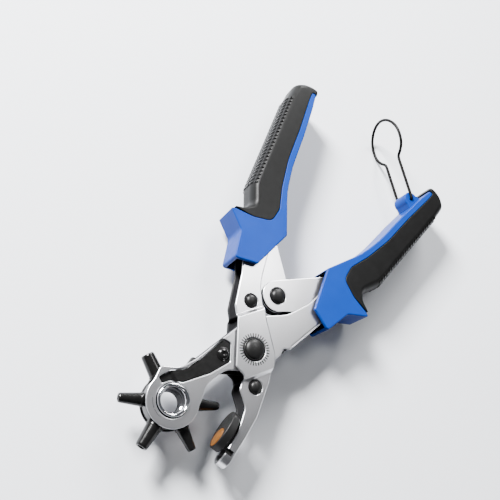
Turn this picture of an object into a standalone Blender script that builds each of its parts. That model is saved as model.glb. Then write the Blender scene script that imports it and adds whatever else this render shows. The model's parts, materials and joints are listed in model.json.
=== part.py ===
"""Rotary leather hole punch with compound-leverage handles.

The tool lies flat: X runs across the handles, Y from the punches to the handle tips, Z is up.
All shapes are drawn in the pivot frame, in millimetres: its origin is the main pivot's axis at
mid thickness. PIVOT says where that point is in the part's own frame, whose origin is the centre
of the footprint on the surface that the tool lies on.
"""

import math

import bmesh
import bpy
from mathutils import Matrix, Vector

MM = 0.001
GAP = 0.3
PIVOT = (3.6, -65.1, 16.87)

# Pivots of the linkage, hub of the turret and hole of the wire loop (x, y)
MAIN_PIVOT = (0.0, 0.0)
HANDLE_LINK = (-3.6, 39.7)
LEFT_PIVOT = (-32.2, 58.0)
RIGHT_PIVOT = (25.0, 58.0)
HUB = (-23.2, -51.5)
LOOP_PIVOT = (41.0, 166.3)
UPPER_RIVET = (-16.4, 24.7)
LOWER_RIVET = (12.4, -17.1)
INDEX_SCREW = (-13.4, -12.7)

# The two grips mirror each other about this line, x = HANDLE_AXIS_X
HANDLE_AXIS_X = HANDLE_LINK[0]

# Layers across the thickness, as heights above the middle plane
PLATE = 2.0
PLATE_OUT = 6.6
PLATE_IN = PLATE_OUT - PLATE
JOGGLE = PLATE + GAP
TONGUE_HALF = 2.2
CLEVIS_IN = TONGUE_HALF + GAP
CLEVIS_OUT = PLATE_IN - GAP
TURRET_HALF = PLATE_IN - GAP
GRIP_HALF = 10.6
GRIP_WALL = 2.0
UNDER_RUBBER_HALF = 8.3

# The anvil lever's raised middle lies between two fold lines with this normal
FOLD_ANGLE = math.radians(-35.0)
FOLD_UPPER = -21.5
FOLD_LOWER = 14.4
FOLD_RAMP = 1.2

# Turret
WHEEL_RADIUS = 14.6
HUB_BARREL_RADIUS = 7.9
HUB_BORE_RADIUS = 6.9
HUB_FLANGE_RADIUS = 9.3
HUB_FLANGE_HEIGHT = 1.4
PUNCH_REACH = 28.45
PUNCH_ROOT = 10.0
PUNCH_ROOT_RADIUS = 3.2
PUNCH_FIRST_ANGLE = 150.8
# Outer diameter at the tip, outer diameter at the root and bore, in turning order
PUNCHES = (
    (7.4, 8.6, 4.5),
    (5.2, 7.4, 3.0),
    (6.8, 8.8, 4.0),
    (4.7, 7.2, 2.5),
    (4.4, 7.4, 2.0),
    (6.0, 8.0, 3.5),
)
DETENT_OFFSET = -21.4
DETENT_RADIUS_AT = 12.1
DETENT_RADIUS = 1.2
DETENT_DEPTH = 0.7

# Wire loop
WIRE_RADIUS = 0.75
LOOP_ANGLE = math.radians(137.3)
LOOP_LEG_Z = 7.5
LUG_HALF = 6.5
LUG_RADIUS = 5.3
LUG_HOLE_DEPTH = 3.5

ARC_STEP = math.radians(18.0)
ROUND_STEPS = 24

STEEL = ((0.62, 0.62, 0.64), 0.28, 1.0)
CHROME = ((0.78, 0.78, 0.80), 0.10, 1.0)
BLACK_STEEL = ((0.012, 0.012, 0.013), 0.22, 0.3)
SPRING_STEEL = ((0.03, 0.03, 0.032), 0.35, 0.6)
BLUE_PLASTIC = ((0.06, 0.22, 0.63), 0.38, 0.0)
BLACK_RUBBER = ((0.02, 0.02, 0.021), 0.62, 0.0)
BLACK_PLASTIC = ((0.015, 0.015, 0.016), 0.40, 0.0)
BRASS = ((0.72, 0.40, 0.13), 0.30, 1.0)


# ---------------------------------------------------------------- outlines


def rounded(corners, closed=True):
    """Outline through (x, y, radius) corners, each turned into an arc; an open one keeps its ends."""
    points = []
    count = len(corners)
    for index, (x, y, radius) in enumerate(corners):
        if not closed and index in (0, count - 1):
            points.append((x, y))
            continue
        corner = Vector((x, y))
        before = Vector(corners[index - 1][:2]) - corner
        after = Vector(corners[(index + 1) % count][:2]) - corner
        turn = math.pi - before.angle(after)
        reach = radius * math.tan(turn / 2)
        reach = min(reach, before.length * 0.49, after.length * 0.49)
        if reach < 0.05 or turn < math.radians(2):
            points.append((x, y))
            continue
        start = corner + before.normalized() * reach
        end = corner + after.normalized() * reach
        steps = max(1, round(turn / ARC_STEP))
        for step in range(steps + 1):
            share = step / steps
            bend = start.lerp(corner, share).lerp(corner.lerp(end, share), share)
            points.append((bend.x, bend.y))
    return points


def arc(centre, radius, start, end, step=ARC_STEP):
    """Points of an arc from angle start to angle end, in degrees."""
    first, last = math.radians(start), math.radians(end)
    steps = max(2, round(abs(last - first) / step))
    angles = [first + (last - first) * index / steps for index in range(steps + 1)]
    return [(centre[0] + radius * math.cos(a), centre[1] + radius * math.sin(a)) for a in angles]


def circle(centre, radius, steps=ROUND_STEPS):
    return arc(centre, radius, 0, 360, 2 * math.pi / steps)[:-1]


def area(points):
    total = 0.0
    for (x0, y0), (x1, y1) in zip(points, points[1:] + points[:1]):
        total += x0 * y1 - x1 * y0
    return total / 2


# ---------------------------------------------------------------- solids


def extruded(outline, low, high, holes=()):
    """Flat plate from an outline and round or shaped holes."""
    bm = bmesh.new()
    rings = []
    for ring in (outline, *holes):
        vertices = [bm.verts.new((x, y, low)) for x, y in ring]
        rings.append([bm.edges.new(pair) for pair in zip(vertices, vertices[1:] + vertices[:1])])
    edges = [edge for ring in rings for edge in ring]
    bmesh.ops.triangle_fill(bm, edges=edges, use_beauty=True)
    top = bmesh.ops.extrude_face_region(bm, geom=bm.faces[:])
    raised = [item for item in top["geom"] if isinstance(item, bmesh.types.BMVert)]
    bmesh.ops.translate(bm, verts=raised, vec=(0, 0, high - low))
    bmesh.ops.recalc_face_normals(bm, faces=bm.faces[:])
    return bm


def turned(profile, steps=ROUND_STEPS, centre=(0.0, 0.0)):
    """Solid of revolution about Z from (radius, z) points; radius 0 closes it on the axis."""
    bm = bmesh.new()
    rings = []
    for radius, z in profile:
        if radius == 0:
            rings.append([bm.verts.new((centre[0], centre[1], z))] * steps)
        else:
            rings.append([bm.verts.new((x, y, z)) for x, y in circle(centre, radius, steps)])
    on_axis = profile[0][0] == 0
    pairs = list(zip(rings, rings[1:])) + ([] if on_axis else [(rings[-1], rings[0])])
    for low, high in pairs:
        for index in range(steps):
            following = (index + 1) % steps
            corners = [low[index], low[following], high[following], high[index]]
            bm.faces.new(list(dict.fromkeys(corners)))
    bmesh.ops.recalc_face_normals(bm, faces=bm.faces[:])
    return bm


def tube_profile(inner, outer, low, high):
    return [(inner, low), (outer, low), (outer, high), (inner, high)]


def rivet_profile(shank, head, grip, dome):
    """Solid rivet with a domed head above and below the plates that it grips."""
    heads = []
    for sign in (-1, 1):
        seat = sign * (grip + GAP)
        dome_points = [(head, seat + sign * dome * 0.25), (head * 0.86, seat + sign * dome * 0.68)]
        dome_points += [(head * 0.5, seat + sign * dome * 0.93), (0, seat + sign * dome)]
        half = [(shank, seat), (head, seat)] + dome_points
        heads.append(half)
    return heads[0][::-1] + heads[1]


def swept(path, radius, steps=6):
    """Round bar along a list of 3-D points."""
    bm = bmesh.new()
    rings = []
    normal = None
    for index, point in enumerate(path):
        after = path[min(index + 1, len(path) - 1)]
        before = path[max(index - 1, 0)]
        tangent = (after - before).normalized()
        if normal is None:
            normal = tangent.orthogonal().normalized()
        normal = (normal - tangent * normal.dot(tangent)).normalized()
        across = tangent.cross(normal)
        ring = []
        for step in range(steps):
            angle = 2 * math.pi * step / steps
            offset = normal * math.cos(angle) + across * math.sin(angle)
            ring.append(bm.verts.new(point + offset * radius))
        rings.append(ring)
    for low, high in zip(rings, rings[1:]):
        for index in range(steps):
            following = (index + 1) % steps
            bm.faces.new([low[index], low[following], high[following], high[index]])
    bm.faces.new(rings[0][::-1])
    bm.faces.new(rings[-1])
    bmesh.ops.recalc_face_normals(bm, faces=bm.faces[:])
    return bm


def mirrored_in_z(bm):
    for vertex in bm.verts:
        vertex.co.z = -vertex.co.z
    bmesh.ops.reverse_faces(bm, faces=bm.faces[:])
    return bm


# ---------------------------------------------------------------- objects


def material(name, look):
    colour, roughness, metallic = look
    made = bpy.data.materials.get(name) or bpy.data.materials.new(name)
    made.use_nodes = True
    shader = made.node_tree.nodes["Principled BSDF"]
    shader.inputs["Base Color"].default_value = (*colour, 1.0)
    shader.inputs["Roughness"].default_value = roughness
    shader.inputs["Metallic"].default_value = metallic
    return made


def empty(name, place, parent=None):
    made = bpy.data.objects.new(name, None)
    bpy.context.scene.collection.objects.link(made)
    made.parent = parent
    made.location = [value * MM for value in place]
    return made


class Body:
    """The pieces that move together, with their parent empty on the joint's axis."""

    def __init__(self, name, axis, root=None):
        self.axis = Vector((*axis, 0.0))
        place = PIVOT if root is None else self.axis
        self.empty = empty(name + "_axis", place, root.empty if root else None)

    def add(self, name, bm, look_name, look, cutter=False):
        bmesh.ops.translate(bm, verts=bm.verts[:], vec=-self.axis)
        bmesh.ops.scale(bm, verts=bm.verts[:], vec=(MM, MM, MM))
        mesh = bpy.data.meshes.new(name)
        bm.to_mesh(mesh)
        bm.free()
        mesh.materials.append(material(look_name, look))
        mesh.shade_smooth()
        mesh.set_sharp_from_angle(angle=math.radians(35))
        made = bpy.data.objects.new(name, mesh)
        bpy.context.scene.collection.objects.link(made)
        made.parent = self.empty
        if cutter:
            made.hide_render = True
            made.display_type = "WIRE"
        return made

    def combine(self, target, bm, operation):
        """Joins a shape to the target, or cuts it away."""
        name = f"{target.name}_{operation.lower()}_{len(target.modifiers)}"
        tool = self.add(name, bm, "helper", STEEL, cutter=True)
        modifier = target.modifiers.new(name, "BOOLEAN")
        modifier.operation = operation
        modifier.solver = "EXACT"
        modifier.object = tool


# ---------------------------------------------------------------- anvil lever

ANVIL_LEVER_CORNERS = (
    (-25.5, 66.0, 7),
    (-40.5, 66.0, 7),
    (-39.8, 54.0, 12),
    (-30.6, 36.6, 20),
    (-23.2, 16.3, 5),
    (-18.9, 11.4, 5),
    (-4.0, -15.3, 2),
    (3.4, -16.4, 3.5),
    (5.1, -23.8, 3.5),
    (13.4, -30.6, 7),
    (16.6, -44.0, 18),
)
ANVIL_LEVER_FAR_CORNERS = (
    (22.3, -44.0, 30),
    (22.2, -31.0, 20),
    (17.9, -9.5, 12),
    (13.4, 4.6, 14),
    (-3.2, 20.4, 25),
    (-17.3, 37.6, 30),
)
TIP_LEFT = 16.4
TIP_RIGHT = 21.7
TIP_Y = -57.0
NOTCH = (16.0, -57.8, 20.4, -54.6)


def fold_distance(x, y):
    return x * math.cos(FOLD_ANGLE) + y * math.sin(FOLD_ANGLE)


def anvil_lever_plate():
    """Front plate of the anvil lever, raised where it straddles the turret lever."""
    tip = ((TIP_LEFT, TIP_Y, 0), (TIP_RIGHT, TIP_Y, 0))
    outline = rounded(ANVIL_LEVER_CORNERS + tip + ANVIL_LEVER_FAR_CORNERS)
    holes = [
        circle(MAIN_PIVOT, 3.3, 16),
        circle(UPPER_RIVET, 2.3, 12),
        circle(LOWER_RIVET, 2.3, 12),
        circle(LEFT_PIVOT, 3.3, 16),
    ]
    bm = extruded(outline, PLATE_IN, PLATE_OUT, holes)
    normal = (math.cos(FOLD_ANGLE), math.sin(FOLD_ANGLE), 0)
    for fold in (FOLD_UPPER, FOLD_LOWER):
        for offset in (-FOLD_RAMP, FOLD_RAMP):
            point = [(fold + offset) * value for value in normal]
            geometry = bm.verts[:] + bm.edges[:] + bm.faces[:]
            bmesh.ops.bisect_plane(bm, geom=geometry, dist=1e-5, plane_co=point, plane_no=normal)
    bmesh.ops.triangulate(bm, faces=bm.faces[:])
    for vertex in bm.verts:
        distance = fold_distance(vertex.co.x, vertex.co.y)
        into_upper = (distance - FOLD_UPPER + FOLD_RAMP) / (2 * FOLD_RAMP)
        into_lower = (FOLD_LOWER + FOLD_RAMP - distance) / (2 * FOLD_RAMP)
        vertex.co.z += JOGGLE * max(0.0, min(1.0, into_upper, into_lower))
    return bm


def tip_bend():
    """The strip that folds round the end of the jaw and joins the two plates."""
    bm = bmesh.new()
    inner = arc((TIP_Y, 0), PLATE_IN, 90, 270)
    outer = arc((TIP_Y, 0), PLATE_OUT, 90, 270)
    # Points are (y, z); both straight ends run a little way into the plates.
    overlap = 1.5
    inner = [(TIP_Y + overlap, PLATE_IN)] + inner + [(TIP_Y + overlap, -PLATE_IN)]
    outer = [(TIP_Y + overlap, PLATE_OUT)] + outer + [(TIP_Y + overlap, -PLATE_OUT)]
    for x in (TIP_LEFT, TIP_RIGHT):
        rings = [[bm.verts.new((x, y, z)) for y, z in line] for line in (inner, outer)]
        for low in range(len(inner) - 1):
            corners = (rings[0][low], rings[0][low + 1], rings[1][low + 1], rings[1][low])
            bm.faces.new(corners)
    bm.verts.ensure_lookup_table()
    half = len(bm.verts) // 2
    size = len(inner)
    loop = list(range(size)) + list(range(2 * size - 1, size - 1, -1))
    for first, second in zip(loop, loop[1:] + loop[:1]):
        numbers = (first, second, second + half, first + half)
        bm.faces.new([bm.verts[number] for number in numbers])
    bmesh.ops.recalc_face_normals(bm, faces=bm.faces[:])
    return bm


def make_anvil_lever(body):
    frame = body.add("anvil_lever_frame", anvil_lever_plate(), "steel", STEEL)
    body.combine(frame, mirrored_in_z(anvil_lever_plate()), "UNION")
    body.combine(frame, tip_bend(), "UNION")
    left, low, right, high = NOTCH
    notch = [(left, low), (right, low), (right, high), (left, high)]
    body.combine(frame, extruded(notch, -PLATE_OUT - 1, PLATE_OUT + 1), "DIFFERENCE")


ANVIL_FACE_X = 9.7
ANVIL_BACK_X = TIP_LEFT - GAP
ANVIL_CENTRE_Y = -46.2
ANVIL_HALF_HEIGHT = 11.8
ANVIL_HALF_WIDTH = 9.6
PAD_Y = -51.3
PAD_RADIUS = 5.7
PAD_DEPTH = 2.0
PAD_PROUD = 0.25
PAD_CUT_CLEAR = 4.0
ANVIL_TONGUE = (
    (9.7, -55.5),
    (13.5, -55.5),
    (20.8, -54.5),
    (21.0, -44.0),
    (19.5, -36.0),
    (13.0, -36.0),
)


def across_x(bm):
    """Turns a solid made about Z so that its axis runs along X."""
    bmesh.ops.rotate(bm, verts=bm.verts[:], matrix=Matrix.Rotation(math.radians(90), 3, "Y"))
    return bm


def disc_profile(radius, low, high):
    return [(0, low), (radius, low), (radius, high), (0, high)]


def facing_punches(bm):
    """Puts a solid made about Z on the anvil's face, pointing at the punches."""
    across_x(bm)
    bmesh.ops.rotate(bm, verts=bm.verts[:], matrix=Matrix.Rotation(math.pi, 3, "Z"))
    bmesh.ops.translate(bm, verts=bm.verts[:], vec=(ANVIL_FACE_X, PAD_Y, 0))
    return bm


def make_anvil(body):
    """Oval plastic block against the jaw's inner edge, with a tongue between the plates."""
    oval = []
    for x, y in circle((0, 0), 1.0, 28):
        oval.append((-x * ANVIL_HALF_WIDTH, ANVIL_CENTRE_Y + y * ANVIL_HALF_HEIGHT))
    block = body.add(
        "anvil_block",
        across_x(extruded(oval, ANVIL_FACE_X, ANVIL_BACK_X - 1.6)),
        "black_plastic",
        BLACK_PLASTIC,
    )
    tongue_half = PLATE_IN - GAP
    body.combine(block, extruded(list(ANVIL_TONGUE), -tongue_half, tongue_half), "UNION")
    recess_radius = PAD_RADIUS + GAP
    recess = disc_profile(recess_radius, -PAD_DEPTH, PAD_CUT_CLEAR)
    body.combine(block, facing_punches(turned(recess)), "DIFFERENCE")
    pad = disc_profile(PAD_RADIUS, GAP - PAD_DEPTH, PAD_PROUD)
    body.add("anvil_pad", facing_punches(turned(pad)), "brass", BRASS)


def make_rivets(body):
    raised = PLATE_OUT + JOGGLE
    pivot = rivet_profile(3.0, 6.6, raised, 2.6)
    body.add("main_pivot_rivet", turned(pivot, 28), "black_steel", BLACK_STEEL)
    for name, place, head in (
        ("upper_rivet", UPPER_RIVET, 3.8),
        ("lower_rivet", LOWER_RIVET, 4.0),
    ):
        solid = turned(rivet_profile(2.0, head, PLATE_OUT, 1.9), 20, place)
        body.add(name, solid, "black_steel", BLACK_STEEL)
        spacer = turned(tube_profile(2.3, 3.9, -PLATE_IN + GAP, PLATE_IN - GAP), 16, place)
        body.add(name.replace("rivet", "spacer"), spacer, "black_steel", BLACK_STEEL)
    hidden = flat_rivet_profile(3.0, 5.0, PLATE_OUT, 1.1)
    body.add("left_pivot_rivet", turned(hidden, 16, LEFT_PIVOT), "steel", STEEL)
    for name, sign in (("left_pivot_washer_front", 1), ("left_pivot_washer_rear", -1)):
        low, high = TONGUE_HALF + GAP, PLATE_IN - GAP
        washer = turned(tube_profile(3.3, 6.0, low, high), 16, LEFT_PIVOT)
        body.add(name, washer if sign > 0 else mirrored_in_z(washer), "steel", STEEL)


def flat_rivet_profile(shank, head, grip, height):
    seat = grip + GAP
    upper = [(shank, seat), (head, seat), (head, seat + height), (0, seat + height)]
    lower = [(radius, -z) for radius, z in upper[::-1]]
    return lower + upper


def make_return_spring(body):
    """Torsion spring round the bush of the main pivot, one leg against the lower spacer."""
    wire, coil, turns = 0.7, 7.4, 3
    path = []
    start = Vector((6.4, -12.2, -2.6))
    path.append(start)
    first = math.atan2(-4.0, 6.2)
    steps = turns * 14
    for index in range(steps + 1):
        share = index / steps
        angle = first + share * turns * 2 * math.pi + share * math.radians(150)
        z = -2.6 + 5.2 * share
        path.append(Vector((coil * math.cos(angle), coil * math.sin(angle), z)))
    last = path[-1]
    along = (last - path[-2]).normalized()
    path.append(last + Vector((along.x, along.y, 0)) * 7.0)
    body.add("return_spring", swept(path, wire), "spring_steel", SPRING_STEEL)


# ---------------------------------------------------------------- turret lever

TAIL_CORNERS = (
    (34.2, 61.0, 6),
    (30.5, 66.5, 6),
    (19.5, 65.5, 6),
    (15.2, 48.0, 30),
    (7.0, 32.4, 20),
    (-4.0, 22.9, 8),
    (-11.5, 17.5, 6),
    (-15.6, 4.0, 6),
    (-25.2, -25.5, 14),
    (-29.8, -34.2, 10),
    (-39.4, -40.2, 3.5),
    (-38.3, -46.6, 0),
)
THROAT_CORNERS = (
    (-10.0, -41.0, 0),
    (-12.3, -32.5, 12),
    (-7.4, -19.6, 10),
    (-1.0, -15.4, 6),
    (8.2, -9.8, 8),
    (15.9, 8.0, 12),
    (15.4, 13.2, 1.5),
    (19.4, 15.2, 1.5),
    (20.0, 17.2, 1),
)
HEAD_RADIUS = 15.2
TAIL_WEB = ((19.9, 17.6), (29.6, 46.0))
TAIL_WEB_THICKNESS = 2.0
WINDOW_CORNERS = (
    (-18.2, -5.4, 2.5),
    (-13.4, -4.8, 2),
    (-7.9, -14.2, 1.5),
    (-14.0, -26.8, 8),
    (-24.0, -40.2, 3),
    (-30.5, -43.6, 4),
    (-33.6, -47.6, 0.8),
    (-36.8, -45.6, 0.8),
    (-33.2, -38.4, 2),
    (-27.0, -33.4, 8),
    (-22.6, -23.0, 12),
)


def turret_lever_outline():
    head = arc(HUB, HEAD_RADIUS, 169, 385, math.radians(12))
    return rounded(THROAT_CORNERS + TAIL_CORNERS, closed=False) + head


def turret_lever_plate(window):
    holes = [
        circle(MAIN_PIVOT, 3.3, 16),
        circle(RIGHT_PIVOT, 3.3, 16),
        circle(HUB, HUB_BARREL_RADIUS + GAP, 28),
    ]
    if window:
        holes.append(rounded(WINDOW_CORNERS))
    else:
        holes.append(circle(INDEX_SCREW, 1.8, 12))
    return extruded(turret_lever_outline(), PLATE_IN, PLATE_OUT, holes)


def make_turret_lever(body):
    frame = body.add("turret_lever_frame", turret_lever_plate(True), "steel", STEEL)
    body.combine(frame, mirrored_in_z(turret_lever_plate(False)), "UNION")
    across = (-TAIL_WEB_THICKNESS, 0.6)
    far_side = [(x + across[0], y + across[1]) for x, y in TAIL_WEB[::-1]]
    half = PLATE_OUT - 0.5
    body.combine(frame, extruded(list(TAIL_WEB) + far_side, -half, half), "UNION")


def make_index_spring(body):
    """Leaf spring in the front plate's window; its far end steps down to the wheel."""
    low, high = PLATE_IN + 0.1, PLATE_IN + 1.0
    inset = offset_inward(rounded(WINDOW_CORNERS), 0.45)
    leaf = extruded(inset, low, high, [circle(INDEX_SCREW, 1.6, 12)])
    body.add("index_spring", leaf, "spring_steel", SPRING_STEEL)
    block_half = PLATE_IN - GAP
    block = [(-17.5, -8.8), (-17.5, -16.6), (-9.6, -16.6), (-9.6, -8.8)]
    hole = circle(INDEX_SCREW, 1.6, 12)
    post = extruded(block, -block_half, block_half, [hole])
    body.add("index_spring_post", post, "black_steel", BLACK_STEEL)
    head_low = high + 0.2
    screw = [(0, -5.4), (1.3, -5.4), (1.3, head_low), (3.6, head_low)]
    screw += [(3.5, head_low + 0.7), (2.6, head_low + 1.4), (0, head_low + 1.6)]
    solid = turned(screw, 20, INDEX_SCREW)
    body.add("index_spring_screw", solid, "black_steel", BLACK_STEEL)


def offset_inward(points, distance):
    """Moves each point of a counter-clockwise outline into it."""
    if area(points) < 0:
        points = points[::-1]
    moved = []
    count = len(points)
    for index in range(count):
        before = Vector(points[index - 1])
        here = Vector(points[index])
        after = Vector(points[(index + 1) % count])
        first = (here - before).normalized()
        second = (after - here).normalized()
        normal = Vector((-first.y - second.y, first.x + second.x)).normalized()
        square = Vector((-first.y, first.x))
        step = distance / max(0.5, normal.dot(square))
        moved.append((here.x + normal.x * step, here.y + normal.y * step))
    return moved


def make_hub(body):
    """Flanged eyelet that the turret turns on; it stays open right through."""
    seat = PLATE_OUT + GAP
    top = seat + HUB_FLANGE_HEIGHT
    half = [
        (HUB_BARREL_RADIUS, seat),
        (HUB_FLANGE_RADIUS, seat),
        (HUB_FLANGE_RADIUS - 0.3, top - 0.4),
        (HUB_FLANGE_RADIUS - 1.1, top),
        (HUB_BORE_RADIUS + 0.5, top - 0.6),
        (HUB_BORE_RADIUS, top - 2.2),
    ]
    profile = half + [(radius, -z) for radius, z in half[::-1]]
    body.add("hub_eyelet", turned(profile, 32, HUB), "chrome", CHROME)
    bush = turned(tube_profile(3.3, 5.2, -PLATE_IN + GAP, PLATE_IN - GAP), 20)
    body.add("main_pivot_bush", bush, "steel", STEEL)
    hidden = flat_rivet_profile(3.0, 5.0, PLATE_OUT, 1.1)
    body.add("right_pivot_rivet", turned(hidden, 16, RIGHT_PIVOT), "steel", STEEL)


# ---------------------------------------------------------------- turret


def radial(bm, angle):
    """Turns a solid made along Z so that it points out from the hub at an angle."""
    bmesh.ops.rotate(bm, verts=bm.verts[:], matrix=Matrix.Rotation(math.radians(90), 3, "Y"))
    bmesh.ops.rotate(bm, verts=bm.verts[:], matrix=Matrix.Rotation(math.radians(angle), 3, "Z"))
    bmesh.ops.translate(bm, verts=bm.verts[:], vec=(*HUB, 0))
    return bm


def make_turret(body):
    half = TURRET_HALF
    bore = HUB_BARREL_RADIUS + GAP
    profile = [(bore, -half), (WHEEL_RADIUS - 0.8, -half), (WHEEL_RADIUS, -half + 0.8)]
    profile += [(WHEEL_RADIUS, half - 0.8), (WHEEL_RADIUS - 0.8, half), (bore, half)]
    wheel = body.add("turret_wheel", turned(profile, 36, HUB), "black_steel", BLACK_STEEL)
    for index, (tip, root, hole) in enumerate(PUNCHES):
        angle = PUNCH_FIRST_ANGLE + 60 * index
        seat = disc_profile(PUNCH_ROOT_RADIUS + GAP, PUNCH_ROOT - 5, WHEEL_RADIUS + 3)
        body.combine(wheel, radial(turned(seat, 12), angle), "DIFFERENCE")
        direction = math.radians(angle + DETENT_OFFSET)
        place = (
            HUB[0] + DETENT_RADIUS_AT * math.cos(direction),
            HUB[1] + DETENT_RADIUS_AT * math.sin(direction),
        )
        dimple = disc_profile(DETENT_RADIUS, half - DETENT_DEPTH, half + 1)
        body.combine(wheel, turned(dimple, 8, place), "DIFFERENCE")
        shoulder = WHEEL_RADIUS + GAP
        tube = [
            (hole / 2, PUNCH_ROOT),
            (PUNCH_ROOT_RADIUS, PUNCH_ROOT),
            (PUNCH_ROOT_RADIUS, shoulder),
            (root / 2, shoulder),
            (root / 2, shoulder + 0.8),
            (tip / 2, PUNCH_REACH - 0.5),
            (tip / 2 - 0.4, PUNCH_REACH),
            (hole / 2, PUNCH_REACH),
        ]
        solid = radial(turned(tube, 16), angle)
        body.add(f"punch_tube_{index + 1}", solid, "black_steel", BLACK_STEEL)


# ---------------------------------------------------------------- handles

# Corners as (distance from the mirror line, y, radius)
GRIP_INNER_EDGE = (
    (52.0, 181.4, 2),
    (49.0, 168.0, 60),
    (43.3, 145.0, 90),
    (37.7, 118.0, 90),
    (31.5, 100.0, 60),
    (16.6, 74.2, 1),
)
GRIP_COLLAR_END = (
    (22.3, 45.2, 1),
    (36.2, 39.2, 1.5),
    (42.5, 56.9, 3),
    (55.2, 64.9, 1),
)
GRIP_SEAM = (
    (52.5, 66.2, 3),
    (40.5, 69.4, 12),
    (29.4, 75.5, 6),
    (29.4, 86.0, 8),
    (36.0, 100.5, 30),
    (42.9, 121.5, 60),
    (48.0, 147.0, 90),
    (54.6, 174.5, 60),
    (55.2, 180.6, 1),
)
RUBBER_OUTER_EDGE = (
    (63.5, 181.4, 3),
    (68.0, 177.8, 3),
    (67.3, 165.0, 20),
    (60.7, 130.0, 90),
    (53.4, 90.5, 14),
    (46.4, 79.0, 6),
    (47.6, 71.5, 5),
    (54.3, 67.0, 0.5),
)
RUBBER_THICKNESS = 2.6
UNDER_RUBBER_FOOT = ((44.8, 66.5, 2), (33.0, 67.0, 3))
CAVITY = (
    (10.0, 74.0, 0),
    (16.0, 34.0, 0),
    (32.6, 33.0, 0),
    (34.2, 40.0, 1),
    (40.3, 58.0, 2),
    (43.5, 64.0, 2),
    (34.5, 69.4, 4),
    (27.3, 74.8, 4),
    (27.3, 84.5, 3),
    (25.0, 84.5, 2),
    (18.5, 73.4, 0),
)
CORE_LINK_RADIUS = 10.0
CORE_CORNERS = (
    (36.2, 54.5, 10),
    (38.5, 80.0, 40),
    (46.5, 105.0, 60),
    (55.8, 148.0, 3),
    (48.5, 150.0, 3),
    (39.5, 112.0, 60),
    (29.5, 88.0, 30),
    (25.0, 77.0, 10),
)
CORE_GAP = 0.4


def grip_outline():
    return rounded(GRIP_INNER_EDGE + GRIP_COLLAR_END + GRIP_SEAM)


def rubber_outline():
    """The rubber keeps a small gap to the seam, so its corners are the seam's, run backwards."""
    seam = [(t + GAP, y, radius) for t, y, radius in GRIP_SEAM[1:]]
    return rounded(tuple(seam) + RUBBER_OUTER_EDGE)


def under_rubber_outline():
    """The plastic that carries on beneath the rubber."""
    inner = [(t - 1.5, y, radius) for t, y, radius in GRIP_SEAM[2:-1]]
    outer = [(t - RUBBER_THICKNESS, y, radius) for t, y, radius in RUBBER_OUTER_EDGE[1:6]]
    top = [(outer[0][0] - 1.0, outer[0][1] - RUBBER_THICKNESS, 1)]
    return rounded(tuple(inner + top + outer[1:]) + UNDER_RUBBER_FOOT)


def core_outline():
    """Handle core in grip coordinates: round the link, past the lever pivot, up into the grip."""
    link = arc((0.0, HANDLE_LINK[1]), CORE_LINK_RADIUS, 134, 318, math.radians(14))
    ends = [(*link[-1], 0)], [(*link[0], 0)]
    tang = rounded(tuple(ends[0]) + CORE_CORNERS + tuple(ends[1]), closed=False)
    return link + tang[1:-1]


def place(side, points):
    placed = [(HANDLE_AXIS_X + side * t, y) for t, y in points]
    return placed if area(placed) > 0 else placed[::-1]


def make_grip(body, side, name, core_half):
    """Plastic shell, open towards the lever and under the rubber, and the rubber on its outer side."""
    shell = body.add(
        f"{name}_grip_shell",
        extruded(place(side, grip_outline()), -GRIP_HALF, GRIP_HALF),
        "blue_plastic",
        BLUE_PLASTIC,
    )
    beneath = place(side, under_rubber_outline())
    body.combine(shell, extruded(beneath, -UNDER_RUBBER_HALF, UNDER_RUBBER_HALF), "UNION")
    inside = GRIP_HALF - GRIP_WALL
    body.combine(shell, extruded(place(side, rounded(CAVITY)), -inside, inside), "DIFFERENCE")
    slot = offset_inward(core_outline(), -CORE_GAP)
    half = core_half + GAP
    body.combine(shell, extruded(place(side, slot), -half, half), "DIFFERENCE")
    rubber = body.add(
        f"{name}_grip_rubber",
        extruded(place(side, rubber_outline()), -GRIP_HALF, GRIP_HALF),
        "black_rubber",
        BLACK_RUBBER,
    )
    hollow = UNDER_RUBBER_HALF + GAP
    room = offset_inward(under_rubber_outline(), -GAP)
    body.combine(rubber, extruded(place(side, room), -hollow, hollow), "DIFFERENCE")
    return shell


def handle_core(side, low, high, link_hole, pivot_hole):
    pivot = RIGHT_PIVOT if side > 0 else LEFT_PIVOT
    outline = place(side, core_outline())
    holes = [circle(HANDLE_LINK, link_hole, 16), circle(pivot, pivot_hole, 16)]
    return extruded(outline, low, high, holes)


def make_left_handle(body):
    core = handle_core(-1, -TONGUE_HALF, TONGUE_HALF, 3.3, 3.3)
    body.add("left_handle_core", core, "steel", STEEL)
    make_grip(body, -1, "left", TONGUE_HALF)


def make_right_handle(body):
    front = handle_core(1, CLEVIS_IN, CLEVIS_OUT, 3.3, 3.8)
    body.add("right_handle_core_front", front, "steel", STEEL)
    rear = mirrored_in_z(handle_core(1, CLEVIS_IN, CLEVIS_OUT, 3.3, 3.8))
    body.add("right_handle_core_rear", rear, "steel", STEEL)
    link = turned(rivet_profile(3.0, 4.9, CLEVIS_OUT, 2.2), 24, HANDLE_LINK)
    body.add("handle_link_rivet", link, "black_steel", BLACK_STEEL)
    shell = make_grip(body, 1, "right", CLEVIS_OUT)
    lug = [(LOOP_PIVOT[0] + 8.0, LOOP_PIVOT[1] + 6.0)] + arc(LOOP_PIVOT, LUG_RADIUS, 72, 262)
    lug += [(LOOP_PIVOT[0] + 4.5, LOOP_PIVOT[1] - 8.5)]
    body.combine(shell, extruded(lug, -LUG_HALF, LUG_HALF), "UNION")
    for sign in (-1, 1):
        low, high = sorted((sign * (LUG_HALF - LUG_HOLE_DEPTH), sign * (LUG_HALF + 1)))
        hole = turned(disc_profile(WIRE_RADIUS + GAP, low, high), 10, LOOP_PIVOT)
        body.combine(shell, hole, "DIFFERENCE")


# ---------------------------------------------------------------- lock loop

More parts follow.
